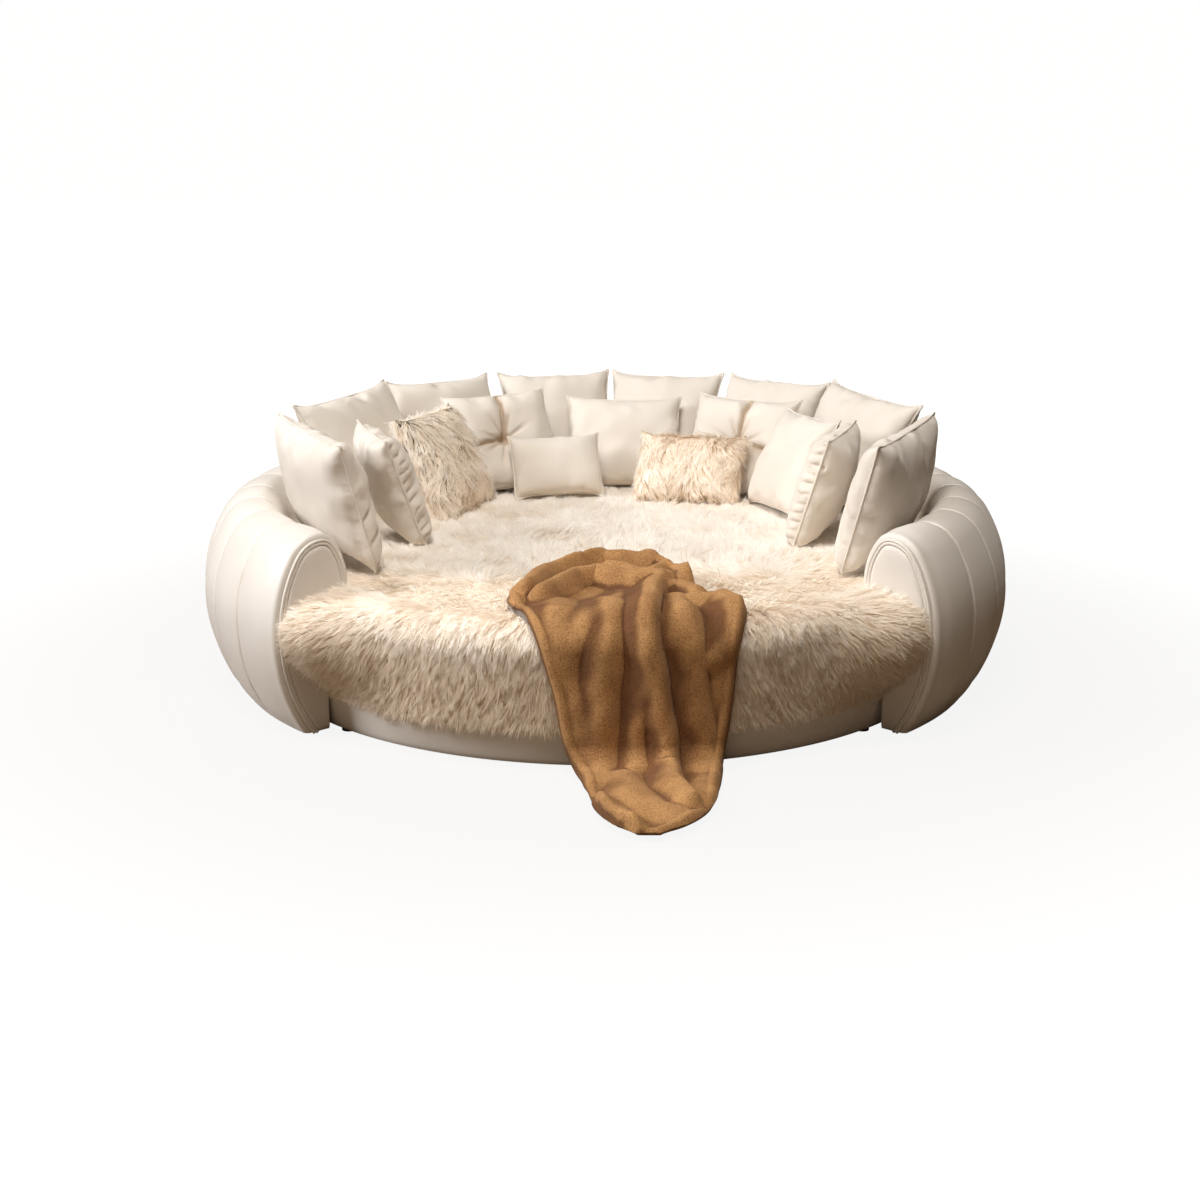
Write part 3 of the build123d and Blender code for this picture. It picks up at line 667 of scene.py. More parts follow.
cap_crown, cap_steps = 0.013, 160
cord_steps, cord_sides = 210, 12
cap_middle = np.array([1.215, 0.33])
for side, word in ((1, "right"), (-1, "left")):
    cords, faces = [], []
    for cord in range(2):
        arch = bolster_arch(end_rounding + welt_radius + cord * (2 * welt_radius - welt_lap), 0.0, 150)
        down = np.linspace(arch[-1], (arch[-1, 0], hook_height), 40)[1:]
        line = cap_place(even_line(np.vstack([arch, down]), cord_steps), welt_radius, side)
        faces += tube_faces(cord_steps, cord_sides, start=cord * cord_steps * cord_sides)
        cords.append(tube(line, welt_radius))
    make_piece("welt_" + word, np.concatenate(cords), faces, cover_finish, "root", ["welt_" + word])
    ring = cap_outline(end_rounding + 4 * welt_radius - welt_lap + 0.0003, 0.004, cap_steps)
    share = np.array([1.0, 1.0, 0.985, 0.96, 0.93, 0.88, 0.8, 0.65, 0.45, 0.2])
    height = np.array([0.0, 0.45, 0.72, 0.86, 0.93, 0.97, 1.0, 1.04, 1.08, 1.1]) * cap_crown
    rings = cap_middle + share[:, None, None] * (ring - cap_middle)
    panel = cap_place(rings, height[:, None], side)
    ripple = soft_noise(panel, 0.12, 11) * 0.0008 * smooth_step(share, 1.0, 0.9)[:, None]
    panel += ripple[..., None] * cap_place(np.zeros(2), 1.0, side)
    faces = tube_faces(len(share), cap_steps)
    make_piece("cap_" + word, panel, faces, cover_finish, "root", ["cap_" + word])
print("welts and caps")

# %% [markdown]
# ## The base
# The apron is one padded band round the drum. It leans out a little towards the top and is pulled
# tight, so it only needs its section carried round, with a faint unevenness.

# %% The apron
base_foot, base_top, base_height, apron_inner = 1.141, 1.165, 0.225, 1.119
face_points, apron_steps = 28, 181
ring_points = face_points + 2
apron_rise = np.linspace(0, 1, face_points)
rounding = 0.012 * (np.exp(-apron_rise / 0.03) + 0.4 * np.exp(-(1 - apron_rise) / 0.03))
apron_out = base_foot + (base_top - base_foot) * apron_rise + 0.006 * np.sin(pi * apron_rise) - rounding / 2
apron_up = glide_height + (base_height - glide_height) * apron_rise
apron_back = np.array([(apron_inner, base_height), (apron_inner, glide_height)])
for word, start in (("front", -90.0), ("back", 90.0)):
    bearing = np.linspace(start, start + 180, apron_steps)
    face = np.stack([apron_out, apron_up], axis=-1)
    section = np.broadcast_to(np.vstack([face, apron_back]), (apron_steps, ring_points, 2)).copy()
    wave = soft_noise(around(bearing, section) * (1, 1, 0.6), 0.3, 21)
    section[:, :face_points, 0] += wave[:, :face_points] * 0.0012 * np.sin(pi * apron_rise)
    faces, name = tube_faces(apron_steps, ring_points), "apron_" + word
    make_piece(name, around(bearing, section), faces, cover_finish, "root", [name])
print("apron in two halves")

# %% [markdown]
# ## The mattress
# A foam mattress fills the ring and steps out over the rim at the open front. Nothing of it shows, but
# its shape carries the fur: a disc with a rounded edge whose radius depends on the bearing.

# %% Mattress
mattress_low, mattress_high = hook_height, 0.4253
ring_radius, front_radius, front_turn = 1.066, 1.165, 44.97
ring_edge, front_edge = 0.012, 0.060
even_bearings = np.linspace(-180, 180, 241)
ring_bearings = np.unique(np.round(np.concatenate([even_bearings, [-front_turn, front_turn]]), 4))[:-1]


def mattress_points():
    """Disc: radius and rounding depend on the bearing, and the edge profile is a quarter circle."""
    low, high = np.searchsorted(ring_bearings, (-front_turn, front_turn))
    bearing = np.concatenate([ring_bearings[: low + 1], ring_bearings[low : high + 1], ring_bearings[high:]])
    front = np.zeros(len(bearing))
    front[low + 1 : high + 2] = 1
    radius = ring_radius + front * (front_radius - ring_radius)
    rounding = ring_edge + front * (front_edge - ring_edge)
    roll, turn_in = np.linspace(0, pi / 2, 9), rounding[:, None]
    side = [radius[:, None] - turn_in * (1 - np.cos(roll)), mattress_high - turn_in * (1 - np.sin(roll))]
    side = np.stack(side, -1)
    inside = np.linspace(1, 0.02, 14)[1:]
    flat = (radius - rounding)[:, None] * inside
    flat = np.stack([flat, np.full(flat.shape, mattress_high)], -1)
    foot = np.stack([radius, np.full(len(bearing), mattress_low)], -1)[:, None]
    under = np.stack([radius * 0.02, np.full(len(bearing), mattress_low)], -1)[:, None]
    return around(bearing, np.concatenate([under, foot, side, flat], axis=1))


points = mattress_points()
rows, columns = points.shape[:2]
faces = grid_faces(rows, columns, close_rows=True).tolist()
faces += [[r * columns + c for r in range(rows)] for c in (0, columns - 1)]
make_piece("mattress", points, faces, ticking_finish, "root", ["mattress"])
print("mattress", len(faces), "faces")

# %% [markdown]
# ## The way of the throw
# The throw lies gathered on the bed, rolls over the front edge, hangs down and runs out on the floor.
# Its way is one line, out and up: flat, a bend, a drop, a bend and the floor. Two tables say where its
# left and right edges are along that way. The fur needs to know this too, because its pile is pressed
# flat under the throw.

# %% Way and edges of the throw
lying_from, bend_out, bend_up, bend_radius = 0.46, 1.1053, 0.3656, 0.0835
drop_from, first_way, last_way = 0.7757, 0.105, 1.588
throw_line = even_line(np.vstack([
    [(lying_from, 0.4475), (bend_out, 0.4475)],
    arc((bend_out, bend_up), bend_radius, pi / 2, 0),
    [(1.2, 0.105)],
    arc((1.295, 0.105), 0.095, pi, 1.5 * pi),
    [(1.697, 0.010)],
]), 400)
throw_reach = np.concatenate([[0], np.cumsum(np.linalg.norm(np.diff(throw_line, axis=0), axis=1))])
left_edge = np.array([
    (0.105, 0.010), (0.13, -0.03), (0.19, -0.112), (0.27, -0.180), (0.35, -0.226), (0.44, -0.272), (0.53, -0.285),
    (0.60, -0.268), (0.66, -0.236), (0.72, -0.204), (0.76, -0.183), (0.84, -0.160), (0.91, -0.140), (1.04, -0.118),
    (1.11, -0.092), (1.19, -0.062), (1.35, -0.038), (1.44, -0.016), (1.52, 0.020), (1.57, 0.060), (1.588, 0.100),
])
right_edge = np.array([
    (0.105, 0.100), (0.13, 0.140), (0.17, 0.175), (0.22, 0.222), (0.29, 0.250), (0.44, 0.292), (0.51, 0.343),
    (0.58, 0.386), (0.66, 0.400), (0.72, 0.392), (0.76, 0.376), (0.84, 0.366), (0.91, 0.361), (1.04, 0.343),
    (1.19, 0.320), (1.35, 0.300), (1.44, 0.274), (1.52, 0.223), (1.57, 0.165), (1.588, 0.125),
])


def smooth_table(table, at):
    """A table's values with its corners rounded by a short moving mean."""
    near = at[..., None] + np.linspace(-0.03, 0.03, 7)
    return np.interp(near, table[:, 0], table[:, 1]).mean(-1)


def under_throw(x, reach, margin=0.018):
    """True where a point on the way at x lies under the throw and not within margin of its edge."""
    inside = (x > smooth_table(left_edge, reach) + margin) & (x < smooth_table(right_edge, reach) - margin)
    return inside & (reach > 0.12)


print("throw is", round(float(throw_reach[-1]), 2), "m long from end to hem as it lies")

# %% [markdown]
# ## Fur
# Long-pile fur is thousands of tapered hairs. A hair grows out of the backing, bends over along the
# way the pile is brushed, and joins its neighbours in a lock, so the tips of one patch lean together.
# All hairs of a patch are worked out at once from arrays of roots, normals and flow directions. A thin
# blade would flicker between light and dark, so each one is shaded with the normal of the skin under
# it, bent a little towards its own, and a patch takes the light as one soft surface.

# %% Growing a pile
lock_lean, hair_lean, hair_twist = 0.2, 0.12, 0.1


def unit(vectors):
    """The vectors with length 1."""
    return vectors / np.maximum(np.linalg.norm(vectors, axis=-1, keepdims=True), 1e-9)


def fur_blades(name, skin, roots, normals, flow, length, width, lock, seed, finish, body="root", bends=2,
               rise=0.3, droop=0.35, draw=0.2, paler=0.0, lying=0.0):
    """Hairs on a skin along a bent line: each stretch leans less than the last, and tips meet in locks.

    paler moves the tone of a hair, which runs from 0, dark and warm, to 1, pale. lying is the share of a
    hair's own lean away from the skin that is pressed out of it.
    """
    chance = np.random.default_rng(seed)
    count, corners = len(roots), 2 * bends + 1
    normals = unit(normals)
    flow = unit(flow - (flow * normals).sum(1, keepdims=True) * normals)
    cell = np.floor((roots + soft_noise(roots, lock * 2, seed)[:, None] * lock * 0.4) / lock).astype(np.int64)
    group = np.unique(cell, axis=0, return_inverse=True)[1].ravel()
    groups = group.max() + 1
    size = np.bincount(group, minlength=groups)[:, None]
    centre = np.stack([np.bincount(group, roots[:, k], groups) for k in range(3)], -1) / size
    way = unit(flow + chance.normal(0, lock_lean, (groups, 3))[group] + chance.normal(0, hair_lean, (count, 3)))
    way = unit(way - lying * (way * normals).sum(1, keepdims=True) * normals)
    stretch = chance.uniform(0.85, 1.12, groups)[group] * chance.uniform(0.8, 1.1, count) * length
    stretch = stretch[:, None] / bends
    lift = (rise * chance.uniform(0.6, 1.4, count))[:, None]
    drawn = (centre[group] - roots) * (draw * chance.uniform(0.4, 1.4, count))[:, None]
    across = unit(np.cross(way, normals) + chance.normal(0, hair_twist, (count, 3)))
    half = (width * chance.uniform(0.7, 1.3, count) / 2)[:, None] * across
    points, spine, shares = np.zeros((count, corners, 3)), roots, np.linspace(0, 1, bends + 1)
    for k in range(bends):
        near = half * (0.8, 1.0, 0.7)[k]
        points[:, 2 * k], points[:, 2 * k + 1] = spine - near, spine + near
        step = stretch * unit(way + lift * droop**k * normals)
        spine = spine + step + drawn * (shares[k + 1] ** 2 - shares[k] ** 2)
    points[:, -1] = spine
    quads = [(2 * k, 2 * k + 1, 2 * k + 3, 2 * k, 2 * k + 3, 2 * k + 2) for k in range(bends - 1)]
    pattern = np.array([v for quad in quads for v in quad] + [corners - 3, corners - 2, corners - 1])
    loops = pattern + corners * np.arange(count)[:, None]
    tone = 0.5 + paler + 0.13 * soft_noise(roots, 0.16, seed + 1)
    tone = tone + 0.11 * chance.normal(size=groups)[group] + 0.13 * chance.normal(size=count)
    height = np.append(np.repeat(shares[:-1], 2), 1)
    shading = unit(normals + 0.3 * unit(np.cross(across, way)))
    mesh = bpy.data.meshes.new(name)
    mesh.vertices.add(count * corners)
    mesh.vertices.foreach_set("co", points.astype(np.float32).ravel())
    mesh.loops.add(loops.size)
    mesh.loops.foreach_set("vertex_index", loops.astype(np.int32).ravel())
    mesh.polygons.add(loops.size // 3)
    mesh.polygons.foreach_set("loop_start", np.arange(0, loops.size, 3, dtype=np.int32))
    mesh.update(calc_edges=True)
    for label, values in (("tone", np.repeat(np.clip(tone, 0, 1), corners)), ("height", np.tile(height, count))):
        mesh.attributes.new(label, "FLOAT", "POINT").data.foreach_set("value", values.astype(np.float32))
    mesh.shade_smooth()
    mesh.normals_split_custom_set_from_vertices(np.repeat(shading, corners, axis=0))
    print(name, loops.size // 3, "triangles")
    place_piece(mesh, finish, body).parent = skin


print("hairs lean", lock_lean, "by the lock and", hair_lean, "by the hair")

# %% Roots on a plane
def scatter(low, high, spacing, seed):
    """Points on a plane: a square grid of the spacing, each moved at random within its cell."""
    chance = np.random.default_rng(seed)
    x, y = np.meshgrid(np.arange(low[0], high[0], spacing), np.arange(low[1], high[1], spacing))
    points = np.stack([x.ravel(), y.ravel()], -1)
    return points + chance.uniform(-0.5, 0.5, points.shape) * spacing


print("a patch of 0.1 m has", len(scatter((0, 0), (0.1, 0.1), 0.0044, 1)), "roots")

# %% [markdown]
# ### The cover on the mattress
# The backing is one sheet: a disc that carries on over the rounded front edge and down as a skirt. In
# front of the caps the fur swells to a rounded lobe, so there the edge line is blended with a fuller
# one. The sheet gets its thickness from Solidify, which stands for the dense under-fur. On top the pile
# is brushed towards the back in slow swirls and stands up a little against the cushions. Towards the
# edge it turns over to the front, lies flat, and falls down and away from the middle. Under the throw
# the pile is thinner and pressed flat, which shows when the throw is lifted.

# %% Lines of the edge and the skirt
fur_base, under_fur = 0.4256, 0.010
skirt_low, edge_turn, skirt_flare = 0.1426, 0.060, 0.006
skirt_turn, lobe_turn = 45.2, 17.0
lobe_rise = np.array([(0.0, 0.0), (0.3, 0.1), (0.55, 0.42), (0.8, 0.85), (1.0, 1.0)])
line_points, disc_rings = 30, 30
disc_radius = ring_radius - 0.004


def cut_corners(points, passes=3):
    """A smooth line from a few points: each pass replaces a corner by two points near it."""
    for _ in range(passes):
        near, far = points[:-1], points[1:]
        cut = np.stack([0.75 * near + 0.25 * far, 0.25 * near + 0.75 * far], 1).reshape(-1, points.shape[1])
        points = np.vstack([points[:1], cut[1:-1], points[-1:]])
    return points


roll = np.linspace(0, pi / 2, 10)
rounded_edge = [front_radius - edge_turn * (1 - np.sin(roll)), fur_base - edge_turn * (1 - np.cos(roll))]
line_start, line_end = (disc_radius, fur_base), (front_radius + skirt_flare, skirt_low)
plain_line = even_line(np.vstack([line_start, np.stack(rounded_edge, -1), line_end]), line_points)
lobe_spots = [(1.13, 0.428), (1.275, 0.412), (1.330, 0.345), (1.285, 0.245), (1.185, 0.165)]
lobe_line = even_line(cut_corners(np.array([line_start, *lobe_spots, line_end])), line_points)


def skirt_spots(bearing, place):
    """Out and up on the edge: the plain line, blended into the lobe line near the caps."""
    share = np.interp((np.abs(bearing) - (skirt_turn - lobe_turn)) / lobe_turn, lobe_rise[:, 0], lobe_rise[:, 1])
    at = np.linspace(0, 1, line_points)
    lines = (plain_line, lobe_line)
    plain, lobe = (np.stack([np.interp(place, at, line[:, k]) for k in range(2)], -1) for line in lines)
    return plain + share[..., None] * (lobe - plain)


def skirt_points(bearing, place):
    """The same spots in the row frame; bearings in degrees."""
    section, turn = skirt_spots(bearing, place), np.radians(bearing)
    return np.stack([section[..., 0] * np.sin(turn), -section[..., 0] * np.cos(turn), section[..., 1]], -1)


print("the skirt's foot is", round(skirt_low, 3), "m up")

# %% The backing as one sheet
skin_bearings = np.unique(np.round(np.concatenate([np.arange(-180, 180, 1.2), [-skirt_turn, skirt_turn]]), 4))
top_line = np.stack([np.linspace(0.03, disc_radius, disc_rings), np.full(disc_rings, fur_base)], -1)
disc = around(skin_bearings, np.broadcast_to(top_line, (len(skin_bearings), disc_rings, 2)))
front = np.abs(skin_bearings) <= skirt_turn
turn, place = np.meshgrid(skin_bearings[front], np.linspace(0, 1, line_points)[1:], indexing="ij")
points = np.concatenate([disc.reshape(-1, 3), skirt_points(turn, place).reshape(-1, 3)])
faces = grid_faces(len(skin_bearings), disc_rings, close_rows=True).tolist()
faces += [[r * disc_rings for r in range(len(skin_bearings))]]
first, rows = len(skin_bearings) * disc_rings, line_points - 1
faces += (grid_faces(int(front.sum()), rows) + first).tolist()
rim = np.flatnonzero(front) * disc_rings + disc_rings - 1
faces += [[rim[k], rim[k + 1], first + (k + 1) * rows, first + k * rows] for k in range(len(rim) - 1)]
fur_cover = make_piece("fur_cover", points, faces, ivory_fur, "root", ["fur_cover"], crease=0)
backing = fur_cover.modifiers.new("thickness", "SOLIDIFY")
backing.thickness, backing.offset = under_fur, 1.0
print("fur backing", len(faces), "faces")

# %% Pile on top
skin_top, pile_radius = fur_base + under_fur, ring_radius - 0.006
roots = scatter((-ring_radius, -ring_radius), (ring_radius, ring_radius), 0.0044, 31)
out = np.linalg.norm(roots, axis=1)
roots = roots[(out < pile_radius) & ~under_throw(roots[:, 0], -roots[:, 1] - lying_from)]
roots = np.column_stack([roots, np.full(len(roots), skin_top)])
swirl = soft_noise(roots[:, :2], 0.5, 32) * 0.9 + soft_noise(roots[:, :2], 0.17, 34) * 0.35
outward = roots / np.linalg.norm(roots[:, :2], axis=1, keepdims=True) * (1, 1, 0)
fore = smooth_step(np.hypot(roots[:, 0], roots[:, 1]), 0.62, 0.95) * smooth_step(-outward[:, 1], 0.45, 0.75)
flow = np.column_stack([np.sin(swirl), np.cos(swirl), np.zeros(len(roots))]) * (1 - fore[:, None])
flow += outward * 1.3 * fore[:, None] + 0.25 * soft_noise(roots, 0.1, 35)[:, None] * (1, 0, 0)
raised = 0.07 + 0.29 * np.clip(flow[:, 1], 0, 1)
upward = np.tile((0.0, 0.0, 1.0), (len(roots), 1))
bands = [("back", 0.42, 9), ("middle", 0.02, 0.42), ("fore", -0.38, 0.02), ("front", -9, -0.38)]
for word, near, far in bands:
    part = (roots[:, 1] > near) & (roots[:, 1] <= far)
    fur_blades(
        "fur_top_" + word, fur_cover, roots[part], upward[part], flow[part], 0.050, 0.0026, 0.013, 33,
        ivory_fur, rise=raised[part], draw=0.22, droop=0.5, paler=0.33,
    )

# %% Where the throw presses the pile of the top flat
pressed_top = scatter((-0.32, -ring_radius), (0.42, -0.54), 0.0062, 36)
inside = np.hypot(pressed_top[:, 0], pressed_top[:, 1]) < pile_radius
pressed_top = pressed_top[inside & under_throw(pressed_top[:, 0], -pressed_top[:, 1] - lying_from)]
pressed_top = np.column_stack([pressed_top, np.full(len(pressed_top), skin_top)])
print("pressed roots on top", len(pressed_top))

# %% Pile over the edge and down the skirt
skirt_radius = 1.2
skirt_length = float(np.linalg.norm(np.diff(plain_line, axis=0), axis=1).sum())
half_way = radians(skirt_turn) * skirt_radius
spots = scatter((-half_way, 0), (half_way, skirt_length), 0.0029, 41)
bearing, place = np.degrees(spots[:, 0] / skirt_radius), spots[:, 1] / skirt_length
section, turn = skirt_spots(bearing, place), np.radians(bearing)
on_top, to_drop = section[:, 0] * np.cos(turn) - lying_from, drop_from + bend_up - section[:, 1]
bare = under_throw(section[:, 0] * np.sin(turn), np.where(section[:, 1] > 0.40, on_top, to_drop))
thinned = np.flatnonzero(bare)[::4]
kept = np.concatenate([np.flatnonzero(~bare), thinned])
bearing, place = bearing[kept], place[kept]
pressed = np.arange(len(kept)) >= len(kept) - len(thinned)
skin = skirt_points(bearing, place)
along = unit(skirt_points(bearing, place + 0.01) - skirt_points(bearing, place - 0.01))
aside = unit(skirt_points(bearing + 0.1, place) - skirt_points(bearing - 0.1, place))
normal = unit(np.cross(aside, along))
normal *= np.sign((normal * (skin - (0, 0, 0.2))).sum(1, keepdims=True))
ends = smooth_step(np.abs(bearing), skirt_turn - 12, skirt_turn)
side_way = 0.75 * np.sin(np.radians(bearing)) + 0.22 * soft_noise(skin, 0.28, 42) + 0.9 * ends * np.sign(bearing)
flow = along + side_way[:, None] * aside
length = 0.066 * (1 - 0.25 * place)
roots = skin + under_fur * normal
raised = 0.26 - 0.19 * np.clip(normal[:, 2], 0, 1)
# Painted shade: the skirt's hairs grow darker and warmer towards its foot, in the shade of the lip of the fur.
paler = 0.25 - 1.0 * smooth_step(place, 0.12, 0.75)
for word, near, far in (("left", -90, -15), ("middle", -15, 15), ("right", 15, 90)):
    part = (bearing >= near) & (bearing <= far) & ~pressed
    fur_blades(
        "fur_skirt_" + word, fur_cover, roots[part], normal[part], flow[part], length[part], 0.0021, 0.010, 43,
        ivory_fur, bends=3, rise=raised[part], paler=paler[part],
    )

# %% Pressed pile under the throw
top_flow = (0.1, -1.0, 0.0) + 0.4 * soft_noise(pressed_top, 0.1, 37)[:, None] * (1, 0, 0)
upward = np.tile((0.0, 0.0, 1.0), (len(pressed_top), 1))
roots = np.vstack([pressed_top, roots[pressed]])
normals, flows = np.vstack([upward, normal[pressed]]), np.vstack([top_flow, flow[pressed]])
fur_blades(
    "fur_pressed", fur_cover, roots, normals, flows, 0.045, 0.0040, 0.012, 47,
    ivory_fur, rise=0.03, droop=0.4, draw=0.15, paler=0.1, lying=1.0,
)

# %% [markdown]
# ## Cushions
# A scatter cushion is two flat pieces of cloth sewn together and stuffed. That is how they are made
# here: two flat panels that share their rim are blown up by Blender's cloth solver. The crown comes by
# itself, but a solver pulls the sides in more than a piped cushion lets them go. So the seam is then
# drawn back to the outline of the real cushion, and all points between follow it. The result is scaled
# to the box of its CAD solid and stood where that solid stands, by a table of turn, lean and tilt.

# %% Where the cushions stand
cushion_angles = {
    "cushion_back_left_outer": (60.3, 28.1, -3.0),
    "cushion_back_left_mid": (35.1, 28.3, 0.0),
    "cushion_back_left_inner": (12.6, 28.5, 0.0),
    "cushion_back_right_inner": (-13.6, 28.6, 0.0),
    "cushion_back_right_mid": (-37.6, 28.4, 0.0),
    "cushion_back_right_outer": (-61.2, 28.1, 3.0),
    "cushion_arm_left": (116.2, 15.0, -1.3),
    "cushion_arm_right": (-114.8, 15.1, 1.5),
    "cushion_gathered_left": (109.7, 19.1, -0.8),
    "cushion_gathered_right": (-109.3, 17.0, 0.3),
    "cushion_shag_square": (70.1, 25.7, 0.0),
    "cushion_square_right": (-72.0, 26.1, -2.3),
    "cushion_square_centre": (-2.5, 28.5, 0.0),
    "cushion_tufted_left": (23.7, 28.4, -2.0),
    "cushion_tufted_right": (-28.3, 27.7, 0.0),
    "cushion_lumbar_plain": (10.2, 32.6, -1.0),
    "cushion_lumbar_shag": (-12.5, 30.8, 0.7),
}


def turned_by(turn, lean, tilt):
    """The rotation that tilts, leans back and turns a cushion, as a 3 by 3 matrix."""
    a, b, c = radians(turn), -radians(lean), radians(tilt)
    z = np.array([[cos(a), -sin(a), 0], [sin(a), cos(a), 0], [0, 0, 1]])
    x = np.array([[1, 0, 0], [0, cos(b), -sin(b)], [0, sin(b), cos(b)]])
    y = np.array([[cos(c), 0, sin(c)], [0, 1, 0], [-sin(c), 0, cos(c)]])
    return z @ x @ y


def node_points(name):
    """The vertices of a CAD node as an array."""
    points = np.zeros(len(nodes[name].data.vertices) * 3)
    nodes[name].data.vertices.foreach_get("co", points)
    return points.reshape(-1, 3)


print(len(cushion_angles), "cushions")

# %% Sewing two panels
def sewn(front, back):
    """One closed mesh from two grids that share their rim: points, quads and the seam's point numbers."""
    rows, columns = front.shape[:2]
    number = np.arange(rows * columns).reshape(rows, columns)
    inside = np.zeros((rows, columns), bool)
    inside[1:-1, 1:-1] = True
    back_number = number.copy()
    back_number[inside] = rows * columns + np.arange(inside.sum())
    faces = grid_faces(rows, columns)
    faces = np.vstack([faces, back_number.ravel()[faces][:, ::-1]])
    rim = np.concatenate([number[0, :-1], number[:-1, -1], number[-1, :0:-1], number[:0:-1, 0]])
    return np.vstack([front.reshape(-1, 3), back[inside]]), faces, rim


print("two panels can be sewn")

# %% Filling with the cloth solver
pressure, frames, stiffness = 5.0, 22, 9.0


def filled(width, height, foot, seed, cell):
    """Two flat panels sewn together and blown up by the cloth solver, as two grids of points."""
    columns, rows = int(round(width / cell)) + 1, int(round(height / cell)) + 1
    v, u = np.meshgrid(np.linspace(0, 1, rows), np.linspace(-0.5, 0.5, columns), indexing="ij")
    bulge = np.sin(pi * v) * np.cos(pi * u) * 0.02
    flat = np.stack([u * width * (foot + (1 - foot) * v), -bulge, v * height], -1)
    points, faces, rim = sewn(flat, flat * (1, -1, 1))
    points[:, 1] += 0.0015 * soft_noise(points, 0.06, seed)
    mesh = bpy.data.meshes.new("panels")
    mesh.from_pydata(points.tolist(), [], faces.tolist())
    item = bpy.data.objects.new("panels", mesh)
    bpy.context.scene.collection.objects.link(item)
    cloth = item.modifiers.new("cloth", "CLOTH")
    settings = {
        "quality": 6, "mass": 0.25, "air_damping": 4, "use_pressure": True, "uniform_pressure_force": pressure,
        "tension_stiffness": stiffness, "compression_stiffness": stiffness, "shear_stiffness": stiffness * 0.6,
        "bending_stiffness": 0.05,
    }
    for key, value in settings.items():
        setattr(cloth.settings, key, value)
    cloth.settings.effector_weights.gravity = 0
    cloth.collision_settings.use_collision = False
    scene = bpy.context.scene
    cloth.point_cache.frame_start, cloth.point_cache.frame_end = 1, frames
    for step in range(1, frames + 1):
        scene.frame_set(step)
    shaped = item.evaluated_get(bpy.context.evaluated_depsgraph_get()).data
    shaped.vertices.foreach_get("co", result := np.zeros(len(points) * 3))
    bpy.data.objects.remove(item)
    scene.frame_set(1)
    result = result.reshape(-1, 3)
    front = result[: rows * columns].reshape(rows, columns, 3)
    back = front.copy()
    back[1:-1, 1:-1] = result[rows * columns :].reshape(rows - 2, columns - 2, 3)
    return front, back


print("filled in", frames, "steps")

# %% Drawing the seam to its outline
ear, fullness = 5.0, 0.74


def drawn_to_outline(front, back, foot, draw):
    """Both grids scaled to a unit box, with the seam moved to its outline and the sides filled out.

    The outline's sides are drawn in by draw between corners that are pointed above and blunt below. The
    points between follow the seam as a Coons patch does: by the sum of the two blends between opposite
    sides, less the blend of the four corners. The depth from the middle plane is raised to a power below
    1, lower at the foot, which rests on the bed.
    """
    both = np.stack([front, back])
    low, high = both.min((0, 1, 2)), both.max((0, 1, 2))
    both = (both - low) / (high - low)
    rows, columns = front.shape[:2]
    v, u = np.meshgrid(np.linspace(0, 1, rows), np.linspace(-1, 1, columns), indexing="ij")
    blunt = 0.09 * np.clip(1 - v / 0.14, 0, 1) ** 2
    aim_x = 0.5 + 0.5 * u * (foot + (1 - foot) * v - blunt - 2 * draw[0] * (1 - np.abs(2 * v - 1) ** ear))
    aim_z = v + (1 - 2 * v) * draw[1] * (1 - np.abs(u) ** ear)
    move = np.stack([aim_x - both[0, ..., 0], 0.5 - both[0, ..., 1], aim_z - both[0, ..., 2]], -1)
    s, t = (u[..., None] + 1) / 2, v[..., None]
    sides = (1 - s) * move[:, :1] + s * move[:, -1:] + (1 - t) * move[:1] + t * move[-1:]
    left = (1 - t) * move[:1, :1] + t * move[-1:, :1]
    right = (1 - t) * move[:1, -1:] + t * move[-1:, -1:]
    both = both + sides - ((1 - s) * left + s * right)
    for _ in range(4):
        mean = (both[:, :-2, 1:-1] + both[:, 2:, 1:-1] + both[:, 1:-1, :-2] + both[:, 1:-1, 2:]) / 4
        both[:, 1:-1, 1:-1] += 0.7 * (mean - both[:, 1:-1, 1:-1])
    depth = 2 * both[..., 1] - 1
    power = fullness - 0.2 * (1 - v) ** 3
    both[..., 1] = 0.5 + 0.5 * np.sign(depth) * np.abs(depth / np.abs(depth).max()) ** power
    low, high = both.min((0, 1, 2)), both.max((0, 1, 2))
    return (both - low) / (high - low)


def finer(grid):
    """The grid with a new row and column between each two, from a cubic through the four nearest."""
    for axis in (0, 1):
        old = np.moveaxis(grid, axis, 0)
        ends = np.concatenate([2 * old[:1] - old[1:2], old, 2 * old[-1:] - old[-2:-1]])
        new = np.empty((2 * len(old) - 1, *old.shape[1:]))
        new[::2], new[1::2] = old, (9 * (old[:-1] + old[1:]) - ends[:-3] - ends[3:]) / 16
        grid = np.moveaxis(new, 0, axis)
    return grid


print("fullness", fullness)

# %% [markdown]
# ### What happens at a seam
# The solver gives the crown and the corners. What it can't give at this size is added as whole-array
# moves along the normals: small puckers beside the seam, deep pleats on the gathered cushions, slack
# creases low on the tall side ones, and the pulled middle of the tufted ones.

# %% Normals, seam marks and folds
pucker_step, pleat_step, fold_step = 0.029, 0.033, 0.085


def point_normals(points, faces):
    """Normals of the points: the mean of the normals of the quads round each."""
    a, b, c, d = (points[faces[:, k]] for k in range(4))
    flat = np.cross(c - a, d - b)
    total = np.zeros_like(points)
    for k in range(4):
        np.add.at(total, faces[:, k], flat)
    return unit(total)


